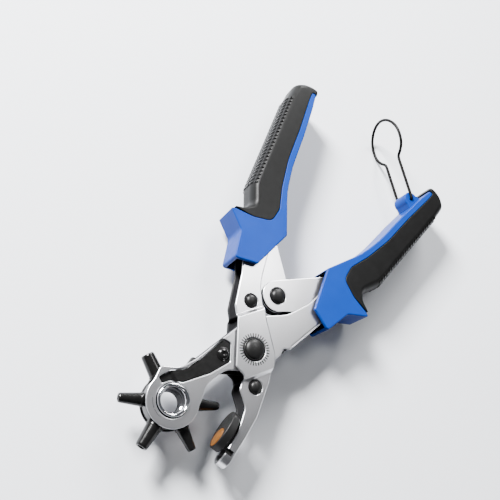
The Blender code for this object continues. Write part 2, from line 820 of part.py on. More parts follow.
# Half of the wire loop as (distance along the loop, height, radius of the bend)
LOOP_HALF = (
    (0.0, LOOP_LEG_Z, 1.2),
    (32.0, LOOP_LEG_Z, 3),
    (38.5, 13.8, 5),
    (50.0, 16.6, 9),
    (60.5, 12.5, 9),
    (64.0, 0.0, 9),
)


def make_lock_loop(body):
    """Wire bail that swings on the right grip's lug and hooks over the other grip."""
    tip_z = LUG_HALF - 2.8
    lower = [(along, -height, radius) for along, height, radius in LOOP_HALF[:-1][::-1]]
    route = list(LOOP_HALF) + lower
    closed = [(0.0, tip_z, 0)] + route + [(0.0, -tip_z, 0)]
    flat = rounded(tuple(closed))
    direction = Vector((math.cos(LOOP_ANGLE), math.sin(LOOP_ANGLE), 0))
    origin = Vector((*LOOP_PIVOT, 0))
    path = [origin + direction * along + Vector((0, 0, height)) for along, height in flat]
    body.add("lock_loop", swept(path, WIRE_RADIUS), "spring_steel", SPRING_STEEL)


# ---------------------------------------------------------------- assembly


def main():
    for existing in list(bpy.data.objects):
        bpy.data.objects.remove(existing)
    anvil_lever = Body("anvil_lever", MAIN_PIVOT)
    turret_lever = Body("turret_lever", MAIN_PIVOT, anvil_lever)
    turret = Body("turret", HUB, anvil_lever)
    left_handle = Body("left_handle", LEFT_PIVOT, anvil_lever)
    right_handle = Body("right_handle", HANDLE_LINK, anvil_lever)
    lock_loop = Body("lock_loop", LOOP_PIVOT, anvil_lever)
    make_anvil_lever(anvil_lever)
    make_anvil(anvil_lever)
    make_rivets(anvil_lever)
    make_turret_lever(turret_lever)
    make_index_spring(turret_lever)
    make_hub(turret_lever)
    make_return_spring(turret_lever)
    make_turret(turret)
    make_left_handle(left_handle)
    make_right_handle(right_handle)
    make_lock_loop(lock_loop)


main()
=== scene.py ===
"""The looks of the rotary hole punch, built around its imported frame.

Shapes are drawn in the pivot frame, in millimetres: its origin is the main pivot's axis at mid
thickness, with X across the handles, Y towards the handle tips and Z towards the front plates.
"""

import json
from math import atan2, ceil, cos, hypot, inf, pi, radians, sin, tan

import bmesh
import bpy
from mathutils import Matrix, Vector


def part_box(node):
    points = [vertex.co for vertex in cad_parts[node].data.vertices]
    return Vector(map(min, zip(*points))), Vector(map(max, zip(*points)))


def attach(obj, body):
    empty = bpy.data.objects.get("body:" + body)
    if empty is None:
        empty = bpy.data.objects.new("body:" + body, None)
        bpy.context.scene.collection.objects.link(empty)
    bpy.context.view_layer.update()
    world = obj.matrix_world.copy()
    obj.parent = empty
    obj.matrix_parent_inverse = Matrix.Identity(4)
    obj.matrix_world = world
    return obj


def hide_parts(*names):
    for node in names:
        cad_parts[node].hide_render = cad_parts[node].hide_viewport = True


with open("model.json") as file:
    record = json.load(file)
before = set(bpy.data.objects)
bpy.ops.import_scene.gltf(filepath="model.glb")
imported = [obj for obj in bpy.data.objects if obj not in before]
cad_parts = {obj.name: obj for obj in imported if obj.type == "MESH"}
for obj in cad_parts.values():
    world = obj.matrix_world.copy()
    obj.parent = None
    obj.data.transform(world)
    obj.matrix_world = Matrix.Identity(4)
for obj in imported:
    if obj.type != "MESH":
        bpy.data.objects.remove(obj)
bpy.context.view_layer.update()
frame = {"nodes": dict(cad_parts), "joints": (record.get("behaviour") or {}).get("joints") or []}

MM = 0.001
JOINT_AT = {joint["name"]: Vector(joint["pos_m"]) for joint in frame["joints"]}
PIVOT = JOINT_AT["jaw_pivot"]


def pivot_frame(point):
    """(x, y) of a point of the row frame, in the pivot frame."""
    return ((point - PIVOT) / MM).to_2d().to_tuple()


def centre_of(node):
    low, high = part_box(node)
    return pivot_frame((low + high) / 2)


MAIN_PIVOT = (0.0, 0.0)
HUB = pivot_frame(JOINT_AT["turret_spin"])
LEFT_PIVOT = pivot_frame(JOINT_AT["left_handle_pivot"])
HANDLE_LINK = pivot_frame(JOINT_AT["handle_link"])
LOOP_PIVOT = pivot_frame(JOINT_AT["lock_loop_swing"])
RIGHT_PIVOT = centre_of("right_pivot_rivet")
UPPER_RIVET = centre_of("upper_rivet")
LOWER_RIVET = centre_of("lower_rivet")
INDEX_SCREW = centre_of("index_spring_screw")
HANDLE_AXIS_X = HANDLE_LINK[0]

# Layers across the thickness, as heights above the middle plane
PLATE = 2.0
PLATE_OUT = 6.6
PLATE_IN = PLATE_OUT - PLATE
JOGGLE = 2.3
TONGUE_HALF = 2.2
CLEVIS_IN = 2.5
CLEVIS_OUT = 4.3
GRIP_HALF = 10.6
GRIP_WALL = 2.0
UNDER_RUBBER_HALF = 8.3
RIM = 0.65
# Rims as good as square, for cutters and hidden solids
NOTCH_RIM = 0.01
CUTTER_RIM = 0.02
HIDDEN_RIM = 0.05

# Rivets and the holes for them, as radii; SINK is the room round a head let into a plate
SHANK = 3.0
SMALL_SHANK = 2.0
SHANK_HOLE = 3.3
LOOSE_HOLE = 3.8
MAIN_HEAD = 6.6
LINK_HEAD = 4.9
SMALL_HEAD = 3.9
SINK = 0.25

ARC_STEP = radians(7.0)
# The turn that lays a solid's Z along X
Z_ALONG_X = (90, "Y")
# The Z part of a normal: below WALL_LEAN the face is a wall, above LEVEL it is a flat top
WALL_LEAN = 0.25
LEVEL = 0.99


# -------------------- outlines


def rounded(corners, closed=True):
    """Outline through (x, y, radius) corners, each turned into a bend; an open one keeps its ends."""
    points = []
    count = len(corners)
    for index, (x, y, radius) in enumerate(corners):
        if not closed and index in (0, count - 1):
            points.append((x, y))
            continue
        corner = Vector((x, y))
        before = Vector(corners[index - 1][:2]) - corner
        after = Vector(corners[(index + 1) % count][:2]) - corner
        turn = pi - before.angle(after)
        reach = radius * tan(turn / 2)
        reach = min(reach, before.length * 0.49, after.length * 0.49)
        if reach < 0.05 or turn < radians(2):
            points.append((x, y))
            continue
        start = corner + before.normalized() * reach
        end = corner + after.normalized() * reach
        steps = max(2, round(turn / ARC_STEP))
        for step in range(steps + 1):
            share = step / steps
            bend = start.lerp(corner, share).lerp(corner.lerp(end, share), share)
            points.append((bend.x, bend.y))
    return points


def arc(centre, radius, start, end, step=ARC_STEP):
    """Points of an arc from angle start to angle end, in degrees."""
    first, last = radians(start), radians(end)
    steps = max(2, round(abs(last - first) / step))
    angles = [first + (last - first) * index / steps for index in range(steps + 1)]
    return [(centre[0] + radius * cos(a), centre[1] + radius * sin(a)) for a in angles]


def circle(centre, radius, steps=48):
    return arc(centre, radius, 0, 360, 2 * pi / steps)[:-1]


def area(points):
    total = 0.0
    for (x0, y0), (x1, y1) in zip(points, points[1:] + points[:1]):
        total += x0 * y1 - x1 * y0
    return total / 2


def turning_left(points):
    return points if area(points) > 0 else points[::-1]


def inset_ring(points, insets):
    """Moves each point to its left by its own distance."""
    moved = []
    count = len(points)
    for index, inset in enumerate(insets):
        before = Vector(points[index - 1])
        here = Vector(points[index])
        after = Vector(points[(index + 1) % count])
        first = (here - before).normalized()
        second = (after - here).normalized()
        normal = Vector((-first.y - second.y, first.x + second.x)).normalized()
        square = Vector((-first.y, first.x))
        step = inset / max(0.5, normal.dot(square))
        moved.append((here.x + normal.x * step, here.y + normal.y * step))
    return moved


def spaced(points, pitch, closed=True):
    """The same line with points added so that none is further than pitch from the next."""
    result = []
    following = points[1:] + points[:1] if closed else points[1:]
    for (x0, y0), (x1, y1) in zip(points, following):
        steps = max(1, ceil(hypot(x1 - x0, y1 - y0) / pitch))
        for step in range(steps):
            share = step / steps
            result.append((x0 + (x1 - x0) * share, y0 + (y1 - y0) * share))
    return result if closed else result + [points[-1]]


def distance_to(line, point):
    """Shortest distance from a point to an open line."""
    here = Vector(point)
    best = inf
    for start, end in zip(line, line[1:]):
        a, b = Vector(start), Vector(end)
        along = b - a
        share = max(0.0, min(1.0, (here - a).dot(along) / max(along.length_squared, 1e-9)))
        best = min(best, (here - a - along * share).length)
    return best


def smoothstep(value):
    value = max(0.0, min(1.0, value))
    return value * value * (3 - 2 * value)


# -------------------- solids


def facing_out(bm):
    bmesh.ops.recalc_face_normals(bm, faces=bm.faces[:])
    return bm


def walled(bm, rings):
    """Faces between each ring of vertices and the next, where a point on an axis may repeat."""
    for low, high in zip(rings, rings[1:]):
        count = len(low)
        for index in range(count):
            after = (index + 1) % count
            corners = [low[index], low[after], high[after], high[index]]
            bm.faces.new(list(dict.fromkeys(corners)))
    return facing_out(bm)


def capped(bm, rings):
    """A closed bar: walls between its rings, and a face over each end."""
    walled(bm, rings)
    bm.faces.new(rings[0][::-1])
    bm.faces.new(rings[-1])
    return facing_out(bm)


def slab(outline, low, high, rim=RIM, holes=(), rise=None, segments=3):
    """Plate with rounded rims. rim is how far the rounding reaches in, as one number or one for
    each point of the outline. rise, for each point too, is how far down, if that differs."""
    bm = bmesh.new()
    contours = [(turning_left(list(outline)), rim, rise)]
    contours += [(turning_left(list(hole))[::-1], RIM, None) for hole in holes]
    rings_of = []
    for points, reach, drop in contours:
        reaches = reach if isinstance(reach, list) else [reach] * len(points)
        drops = drop or reaches
        rings = []
        for top in (False, True):
            for k in range(segments + 1):
                angle = (1 - k / segments if top else k / segments) * pi / 2
                insets = [value * (1 - sin(angle)) for value in reaches]
                moved = inset_ring(points, insets)
                ring = []
                for (x, y), value in zip(moved, drops):
                    fall = value * (1 - cos(angle))
                    ring.append(bm.verts.new((x, y, high - fall if top else low + fall)))
                rings.append(ring)
        rings_of.append(rings)
    for which in (0, -1):
        edges = []
        for rings in rings_of:
            ring = rings[which]
            edges += [bm.edges.new(pair) for pair in zip(ring, ring[1:] + ring[:1])]
        bmesh.ops.triangle_fill(bm, edges=edges, use_beauty=True)
    for rings in rings_of:
        walled(bm, rings)
    return bm


def turned(profile, steps=48, centre=(0.0, 0.0)):
    """Solid of revolution about Z from (radius, z) points; radius 0 closes it on the axis."""
    bm = bmesh.new()
    rings = []
    for radius, z in profile:
        if radius == 0:
            rings.append([bm.verts.new((*centre, z))] * steps)
        else:
            rings.append([bm.verts.new((x, y, z)) for x, y in circle(centre, radius, steps)])
    on_axis = profile[0][0] == 0
    return walled(bm, rings if on_axis else rings + rings[:1])


def swept(path, radius, steps=14):
    """Round wire along a list of 3-D points, with rounded ends."""
    bm = bmesh.new()
    rings = []
    normal = None
    for index, point in enumerate(path):
        after = path[min(index + 1, len(path) - 1)]
        before = path[max(index - 1, 0)]
        tangent = (after - before).normalized()
        if normal is None:
            normal = tangent.orthogonal().normalized()
        normal = (normal - tangent * normal.dot(tangent)).normalized()
        across = tangent.cross(normal)
        ring = []
        for step in range(steps):
            angle = 2 * pi * step / steps
            offset = normal * cos(angle) + across * sin(angle)
            ring.append(bm.verts.new(point + offset * radius))
        rings.append(ring)
    walled(bm, rings)
    for ring, end, inner in ((rings[0], path[0], path[1]), (rings[-1], path[-1], path[-2])):
        pole = bm.verts.new(end + (end - inner).normalized() * radius * 0.5)
        for index in range(steps):
            bm.faces.new([ring[index], ring[(index + 1) % steps], pole])
    return facing_out(bm)


def posed(bm, *turns, shift=(0, 0, 0)):
    """The solid turned by each (degrees, axis) in order, then moved."""
    for degrees, axis in turns:
        turn = Matrix.Rotation(radians(degrees), 3, axis)
        bmesh.ops.rotate(bm, verts=bm.verts[:], matrix=turn)
    bmesh.ops.translate(bm, verts=bm.verts[:], vec=shift)
    return bm


def mirrored_in_z(bm):
    for vertex in bm.verts:
        vertex.co.z = -vertex.co.z
    bmesh.ops.reverse_faces(bm, faces=bm.faces[:])
    return bm


def as_mesh(name, bm):
    """The solid as mesh data; the bmesh is used up."""
    mesh = bpy.data.meshes.new(name)
    bm.to_mesh(mesh)
    bm.free()
    return mesh


def joined(*parts):
    """Several separate solids in one bmesh."""
    whole = bmesh.new()
    for part in parts:
        mesh = as_mesh("part", part)
        whole.from_mesh(mesh)
        bpy.data.meshes.remove(mesh)
    return whole


def painted(bm, index):
    """Gives every face the material slot of that number."""
    for face in bm.faces:
        face.material_index = index
    return bm


def painted_shade_walls(bm):
    """Gives the sheared walls and the faces inside the tool the second material, a near-black painted
    shade for their shadow and dark reflections.
    """
    bm.normal_update()
    for face in bm.faces:
        wall = abs(face.normal.z) < WALL_LEAN
        inward = face.normal.z * face.calc_center_median().z < -0.5
        face.material_index = 1 if wall or inward else 0
    return bm


def linked(name, data):
    made = bpy.data.objects.new(name, data)
    bpy.context.scene.collection.objects.link(made)
    return made


def operand(bm):
    """A passing object of this solid, with two slots so that faces keep their slot numbers."""
    mesh = as_mesh("operand", bm)
    for name in ("slot_0", "slot_1"):
        mesh.materials.append(bpy.data.materials.get(name) or bpy.data.materials.new(name))
    return linked("operand", mesh)


def boolean(base, tool, operation):
    """The base solid with the tool joined or cut away; both are used up."""
    made = [operand(base), operand(tool)]
    modifier = made[0].modifiers.new("boolean", "BOOLEAN")
    modifier.operation = operation
    modifier.solver = "EXACT"
    modifier.object = made[1]
    graph = bpy.context.evaluated_depsgraph_get()
    evaluated = made[0].evaluated_get(graph)
    result = bmesh.new()
    result.from_mesh(evaluated.to_mesh())
    evaluated.to_mesh_clear()
    for used in made:
        mesh = used.data
        bpy.data.objects.remove(used)
        bpy.data.meshes.remove(mesh)
    bmesh.ops.dissolve_degenerate(result, dist=1e-4, edges=result.edges[:])
    return result


def piece(name, bm, body, looks, replaces=(), sharp=38.0, weighted=True, crisp=False):
    """Puts a solid of the pivot frame into the scene, riding on its body. A weighted piece keeps
    its flat faces flat in the shading, and a crisp one has a sharp edge all round each of them."""
    bm.normal_update()
    creases = []
    for edge in bm.edges:
        level = [abs(face.normal.z) > LEVEL for face in edge.link_faces]
        creases.append(crisp and any(level))
    for vertex in bm.verts:
        vertex.co = vertex.co * MM + PIVOT
    mesh = as_mesh(name, bm)
    for look in looks:
        mesh.materials.append(look)
    mesh.shade_smooth()
    mesh.set_sharp_from_angle(angle=radians(sharp))
    for edge, crease in zip(mesh.edges, creases):
        edge.use_edge_sharp = edge.use_edge_sharp or crease
    made = linked(name, mesh)
    if weighted:
        made.modifiers.new("flat faces stay flat", "WEIGHTED_NORMAL").keep_sharp = True
    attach(made, body)
    if replaces:
        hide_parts(*replaces)


# -------------------- materials

# The part of a noise's range that most of it lies in
NOISE_SPAN = (0.3, 0.7)
# Bump heights, in metres
FINE = 0.00001
COARSE = 0.00002


class Look:
    """A Principled material with procedural variation of its colour, roughness and surface."""

    def __init__(self, name, **values):
        self.material = bpy.data.materials.new(name)
        self.material.use_nodes = True
        self.tree = self.material.node_tree
        self.shader = self.tree.nodes["Principled BSDF"]
        self.preset(self.shader, values)

    def preset(self, node, values):
        """Sets inputs by their names, with _ for a space."""
        for name, value in values.items():
            node.inputs[name.replace("_", " ")].default_value = value

    def node(self, kind, **values):
        made = self.tree.nodes.new("ShaderNode" + kind)
        self.preset(made, values)
        return made

    def link(self, source, target):
        self.tree.links.new(source, target)

    def noise(self, scale, stretch=(1, 1, 1), detail=4.0):
        """Noise in object space; scale is in features per metre."""
        coordinates = self.node("TexCoord")
        mapping = self.node("Mapping", Scale=stretch)
        self.link(coordinates.outputs["Object"], mapping.inputs["Vector"])
        noise = self.node("TexNoise", Scale=scale, Detail=detail)
        self.link(mapping.outputs["Vector"], noise.inputs["Vector"])
        return noise.outputs["Fac"]

    def vary_colour(self, factor, dark, light):
        ramp = self.node("ValToRGB")
        for stop, place, colour in zip(ramp.color_ramp.elements, NOISE_SPAN, (dark, light)):
            stop.position = place
            stop.color = (*colour, 1)
        self.link(factor, ramp.inputs["Fac"])
        self.link(ramp.outputs["Color"], self.shader.inputs["Base Color"])

    def vary_roughness(self, factor, low, high):
        first, last = NOISE_SPAN
        span = self.node("MapRange", From_Min=first, From_Max=last, To_Min=low, To_Max=high)
        self.link(factor, span.inputs["Value"])
        self.link(span.outputs["Result"], self.shader.inputs["Roughness"])

    def bump(self, factor, height, strength):
        bump = self.node("Bump", Strength=strength, Distance=height)
        self.link(factor, bump.inputs["Height"])
        self.link(bump.outputs["Normal"], self.shader.inputs["Normal"])


def grey(value):
    return (value, value, value)


def make_steel():
    look = Look("satin_steel", Metallic=1.0)
    look.vary_colour(look.noise(25.0, detail=1.0), (0.60, 0.60, 0.62), (0.64, 0.64, 0.66))
    look.vary_roughness(look.noise(40.0, detail=2.0), 0.27, 0.31)
    look.bump(look.noise(9000.0, (1, 0.3, 1), 1.0), FINE, 0.04)
    return look.material


# Painted shade: a near-black non-metal for plate walls, faces inside the tool and the hub's bore. It
# stands in for their shadow and dark reflections.
def make_painted_shade_steel():
    look = Look("painted_shade_edge", Specular_IOR_Level=0.1)
    look.vary_colour(look.noise(60.0), (0.008, 0.008, 0.009), (0.014, 0.014, 0.015))
    look.vary_roughness(look.noise(400.0, (1, 1, 0.2)), 0.40, 0.50)
    look.bump(look.noise(3000.0, (1, 1, 0.1)), FINE, 0.2)
    return look.material


def make_chrome():
    look = Look("polished_chrome", Metallic=1.0)
    look.vary_colour(look.noise(60.0), (0.78, 0.78, 0.80), (0.84, 0.84, 0.86))
    look.vary_roughness(look.noise(80.0), 0.05, 0.09)
    return look.material


def make_blue():
    look = Look("blue_plastic", Specular_IOR_Level=0.08)
    look.vary_colour(look.noise(80.0), (0.0010, 0.022, 0.160), (0.0014, 0.025, 0.178))
    look.vary_roughness(look.noise(300.0), 0.30, 0.38)
    look.bump(look.noise(4000.0), COARSE, 0.08)
    return look.material


# Painted shade: a very dark navy stands in for the shadow inside the grip shell's hollow, the core's
# slot and the lug's wire holes.
def make_shade_blue():
    look = Look("shadowed_plastic", Specular_IOR_Level=0.15)
    look.vary_colour(look.noise(80.0), (0.0008, 0.0025, 0.020), (0.0012, 0.0035, 0.030))
    look.vary_roughness(look.noise(900.0), 0.5, 0.7)
    return look.material


def make_brass():
    look = Look("brass_pad", Metallic=0.5)
    look.vary_colour(look.noise(500.0, (1, 1, 0.2)), (0.12, 0.042, 0.004), (0.17, 0.062, 0.007))
    look.vary_roughness(look.noise(1500.0), 0.42, 0.55)
    look.bump(look.noise(2500.0, (1, 1, 0.15)), COARSE, 0.3)
    return look.material


def make_floor():
    look = Look("studio_floor", Specular_IOR_Level=0.1)
    look.vary_colour(look.noise(3.0), (0.62, 0.635, 0.665), (0.63, 0.645, 0.675))
    look.vary_roughness(look.noise(6.0), 0.75, 0.85)
    return look.material


def make_black(name, specular, colour, roughness, bump):
    """A near-black surface. The last three each start with their noise's scale: then come the
    two greys, the two roughnesses, and the bump's height and strength."""
    look = Look(name, Specular_IOR_Level=specular)
    grain, dark, light = colour
    look.vary_colour(look.noise(grain), grey(dark), grey(light))
    grain, low, high = roughness
    look.vary_roughness(look.noise(grain), low, high)
    grain, height, strength = bump
    look.bump(look.noise(grain), height, strength)
    return look.material


BLACK_STEEL = make_black(
    "black_oxide", 0.28, (300, 0.0025, 0.0045), (500, 0.17, 0.24), (5000, FINE, 0.05)
)
RIVET_STEEL = make_black(
    "black_rivet", 0.18, (300, 0.004, 0.006), (500, 0.34, 0.42), (5000, FINE, 0.08)
)
SPRING_STEEL = make_black(
    "black_spring_steel", 0.12, (400, 0.003, 0.006), (600, 0.30, 0.38), (5000, FINE, 0.08)
)
WIRE = make_black(
    "black_wire", 0.08, (400, 0.002, 0.004), (600, 0.40, 0.50), (5000, FINE, 0.1)
)
RUBBER = make_black(
    "black_rubber", 0.10, (200, 0.003, 0.0042), (500, 0.36, 0.44), (5000, COARSE, 0.12)
)
RIB_RUBBER = make_black(
    "ribbed_rubber", 0.22, (200, 0.0015, 0.0025), (500, 0.22, 0.28), (5000, COARSE, 0.05)
)
BLACK_PLASTIC = make_black(
    "black_plastic", 0.2, (200, 0.005, 0.0075), (600, 0.36, 0.46), (4500, COARSE, 0.12)
)
STEEL = make_steel()
PAINTED_SHADE_BLACK = make_painted_shade_steel()
CHROME = make_chrome()
BLUE = make_blue()
SHADE_BLUE = make_shade_blue()
BRASS = make_brass()


def steel_piece(name, bm, body, node):
    """A plate with bright steel faces, and walls and inner faces in a near-black painted shade."""
    piece(name, bm, body, [STEEL, PAINTED_SHADE_BLACK], [node], crisp=True)


def rivet_piece(name, bm, body, node):
    piece(name, bm, body, [RIVET_STEEL], [node])


def carried(node, look):
    """A small inner CAD node keeps its shape and gets the detailed material."""
    mesh = frame["nodes"][node].data
    mesh.materials.clear()
    mesh.materials.append(look)


# -------------------- anvil lever

ANVIL_LEVER_CORNERS = (
    (-25.5, 66.0, 7), (-40.5, 66.0, 7), (-39.8, 54.0, 12), (-30.6, 36.6, 20),
    (-23.2, 16.3, 5), (-18.9, 11.4, 5), (-4.0, -15.3, 2), (3.4, -16.4, 3.5),
    (5.1, -23.8, 3.5), (13.4, -30.6, 7), (16.6, -44.0, 18), (16.4, -57.0, 0),
    (21.7, -57.0, 0), (22.3, -44.0, 30), (22.2, -31.0, 20), (17.9, -9.5, 12),
    (13.4, 4.6, 14), (-3.2, 20.4, 25), (-17.3, 37.6, 30),
)
FOLD_ANGLE = radians(-35.0)
FOLD_UPPER = -21.5
FOLD_LOWER = 14.4
FOLD_RAMP = 1.2
FOLD_CUTS = 7
TIP_LEFT = 16.4
TIP_RIGHT = 21.7
TIP_Y = -57.0
TIP_OVERLAP = 1.5
TIP_RIM = 0.35
NOTCH_CORNERS = ((15.0, -57.6), (20.4, -57.6), (20.4, -54.6), (15.0, -54.6))


def cut_across(bm, normal, distances):
    """Adds edges across the faces, so that they can bend along those lines."""
    for distance in distances:
        geometry = bm.verts[:] + bm.edges[:] + bm.faces[:]
        point = normal * distance
        bmesh.ops.bisect_plane(bm, geom=geometry, dist=1e-5, plane_co=point, plane_no=normal)
    bmesh.ops.triangulate(bm, faces=[face for face in bm.faces if len(face.verts) > 4])


def anvil_lever_plate():
    """Front plate of the anvil lever, raised where it straddles the turret lever."""
    holes = [
        circle(UPPER_RIVET, SMALL_HEAD + SINK),
        circle(LOWER_RIVET, SMALL_HEAD + SINK),
        circle(LEFT_PIVOT, SHANK_HOLE),
        circle(MAIN_PIVOT, MAIN_HEAD + SINK),
    ]
    bm = slab(rounded(ANVIL_LEVER_CORNERS), PLATE_IN, PLATE_OUT, RIM, holes)
    normal = Vector((cos(FOLD_ANGLE), sin(FOLD_ANGLE), 0))
    offsets = [FOLD_RAMP * (2 * k / (FOLD_CUTS - 1) - 1) for k in range(FOLD_CUTS)]
    for fold in (FOLD_UPPER, FOLD_LOWER):
        cut_across(bm, normal, [fold + offset for offset in offsets])
    for vertex in bm.verts:
        distance = vertex.co.dot(normal)
        into_upper = (distance - FOLD_UPPER + FOLD_RAMP) / (2 * FOLD_RAMP)
        into_lower = (FOLD_LOWER + FOLD_RAMP - distance) / (2 * FOLD_RAMP)
        vertex.co.z += JOGGLE * smoothstep(min(into_upper, into_lower))
    return bm


def tip_bend():
    """The strip that folds round the end of the jaw and joins the two plates."""
    root = TIP_Y + TIP_OVERLAP
    outline = [(root, PLATE_OUT)] + arc((TIP_Y, 0), PLATE_OUT, 90, 270)
    outline += [(root, -PLATE_OUT), (root, -PLATE_IN)]
    outline += arc((TIP_Y, 0), PLATE_IN, 270, 90) + [(root, PLATE_IN)]
    bm = slab(outline, TIP_LEFT, TIP_RIGHT, TIP_RIM)
    for vertex in bm.verts:
        vertex.co = Vector((vertex.co.z, vertex.co.x, vertex.co.y))
    return facing_out(bm)


def make_anvil_lever():
    """Both plates joined by the folded tip, which keeps the bright steel all round instead of the
    painted shade, and has a notch.
    """
    lever = boolean(anvil_lever_plate(), tip_bend(), "UNION")
    lever = boolean(lever, mirrored_in_z(anvil_lever_plate()), "UNION")
    notch = slab(NOTCH_CORNERS, -PLATE_OUT - 1, PLATE_OUT + 1, NOTCH_RIM)
    lever = boolean(lever, notch, "DIFFERENCE")
    # Walls and inner faces get the near-black painted shade; the folded tip keeps the plain steel.
    for face in painted_shade_walls(lever).faces:
        if face.calc_center_median().y < TIP_Y:
            face.material_index = 0
    steel_piece("anvil_lever", lever, "anvil_lever", "anvil_lever_frame")


# Anvil block and pad
ANVIL_FACE_X = 9.7
ANVIL_BACK_X = 14.5
ANVIL_CENTRE_Y = -46.2
ANVIL_HALF_HEIGHT = 11.8
ANVIL_HALF_WIDTH = 9.6
ANVIL_TONGUE = (
    (11.0, -55.5), (16.8, -55.5), (16.8, -58.2), (21.2, -58.2),
    (21.0, -44.0), (19.5, -36.0), (13.0, -36.0),
)
PAD_Y = -51.3
PAD_RADIUS = 5.7
PAD_DEPTH = 2.0
PAD_PROUD = 0.25
PAD_ROOM = 0.45
HALF_TURN = (180, "Z")


def make_anvil():
    """Oval block with a tongue between the plates, and the brass pad let into its face."""
    oval = []
    for x, y in circle((0, 0), 1.0, 72):
        oval.append((x * ANVIL_HALF_WIDTH, ANVIL_CENTRE_Y + y * ANVIL_HALF_HEIGHT))
    block = posed(slab(oval, ANVIL_FACE_X, ANVIL_BACK_X, 0.5), Z_ALONG_X)
    half = PLATE_IN - 0.3
    block = boolean(block, slab(list(ANVIL_TONGUE), -half, half, 0.3), "UNION")
    radius = PAD_RADIUS + PAD_ROOM
    recess = turned([(0, -PAD_DEPTH), (radius, -PAD_DEPTH), (radius, 4), (0, 4)])
    at_pad = (ANVIL_FACE_X, PAD_Y, 0)
    recess = posed(recess, Z_ALONG_X, HALF_TURN, shift=at_pad)
    block = boolean(block, recess, "DIFFERENCE")
    piece("anvil", block, "anvil_lever", [BLACK_PLASTIC], ["anvil_block"])
    top = PAD_PROUD
    pad = [(0, 0.1 - PAD_DEPTH), (PAD_RADIUS, 0.1 - PAD_DEPTH), (PAD_RADIUS, top - 0.3)]
    pad += [(PAD_RADIUS - 0.1, top - 0.1), (PAD_RADIUS - 0.4, top), (0, top)]
    pad = posed(turned(pad, 64), Z_ALONG_X, HALF_TURN, shift=at_pad)
    piece("anvil_brass_pad", pad, "anvil_lever", [BRASS], ["anvil_pad"])


# -------------------- rivets


def dome(radius, base, height, steps=9):
    """(radius, z) points of an elliptical dome, from its foot to its top."""
    points = []
    for k in range(steps + 1):
        angle = pi / 2 * k / steps
        points.append((radius * cos(angle), base + height * sin(angle)))
    points[-1] = (0, base + height)
    return points


def rivet(shank, head, foot, seat, height, lip=0.0):
    """Profile of a rivet: domed heads whose foot is let into the plates, up to an optional lip."""
    half = [(shank, foot), (head, foot), (head, seat + 0.25)]
    half += [(head - 0.12, seat + 0.45)]
    inner = head - 0.25 - lip
    if lip:
        half += [(head - lip * 0.6, seat + 0.55), (inner, seat + 0.42)]
    half += dome(inner, seat + 0.5, height - 0.5)
    lower = [(radius, -z) for radius, z in half[::-1]]
    return lower + half


MAIN_DOME = 2.6
SMALL_DOME = 2.1
LINK_DOME = 2.4
LET_IN = 1.2
INNER_BLACK_NODES = ("upper_spacer", "lower_spacer", "index_spring_post")
INNER_STEEL_NODES = (
    "left_pivot_rivet",
    "right_pivot_rivet",
    "left_pivot_washer_front",
    "left_pivot_washer_rear",
    "main_pivot_bush",
)


def make_rivets():
    raised = PLATE_OUT + JOGGLE
    main = turned(rivet(SHANK, MAIN_HEAD, raised - LET_IN, raised, MAIN_DOME, lip=0.55), 72)
    rivet_piece("main_rivet", main, "anvil_lever", "main_pivot_rivet")
    small = rivet(SMALL_SHANK, SMALL_HEAD, PLATE_OUT - LET_IN, PLATE_OUT, SMALL_DOME, lip=0.3)
    for name, place in (("upper_rivet", UPPER_RIVET), ("lower_rivet", LOWER_RIVET)):
        rivet_piece(name + "_head", turned(small, 56, place), "anvil_lever", name)
    link = rivet(SHANK, LINK_HEAD, CLEVIS_OUT - 1.0, CLEVIS_OUT, LINK_DOME, lip=0.3)
    rivet_piece("link_rivet", turned(link, 56, HANDLE_LINK), "right_handle", "handle_link_rivet")
    for node in INNER_BLACK_NODES:
        carried(node, BLACK_STEEL)
    for node in INNER_STEEL_NODES:
        carried(node, STEEL)


TICKS = 34
TICK_INNER = 7.3
TICK_OUTER = 9.5
TICK_WIDTH = 0.6
TICK_DEPTH = 0.2
TICK_PROUD = 0.05


def make_tick_ring():
    """Radial marks pressed round the main rivet, filled with black."""
    bm = bmesh.new()
    surface = PLATE_OUT + JOGGLE
    ends = ((TICK_INNER, -1), (TICK_OUTER, -1), (TICK_OUTER, 1), (TICK_INNER, 1))
    for index in range(TICKS):
        angle = 2 * pi * index / TICKS
        along = Vector((cos(angle), sin(angle), 0))
        across = Vector((-along.y, along.x, 0)) * TICK_WIDTH / 2
        rings = []
        for z in (surface - TICK_DEPTH, surface + TICK_PROUD):
            level = Vector((0, 0, z))
            corners = [along * reach + across * side + level for reach, side in ends]
            rings.append([bm.verts.new(corner) for corner in corners])
        capped(bm, rings)
    piece("pivot_ticks", bm, "anvil_lever", [SPRING_STEEL], weighted=False)


# -------------------- turret lever

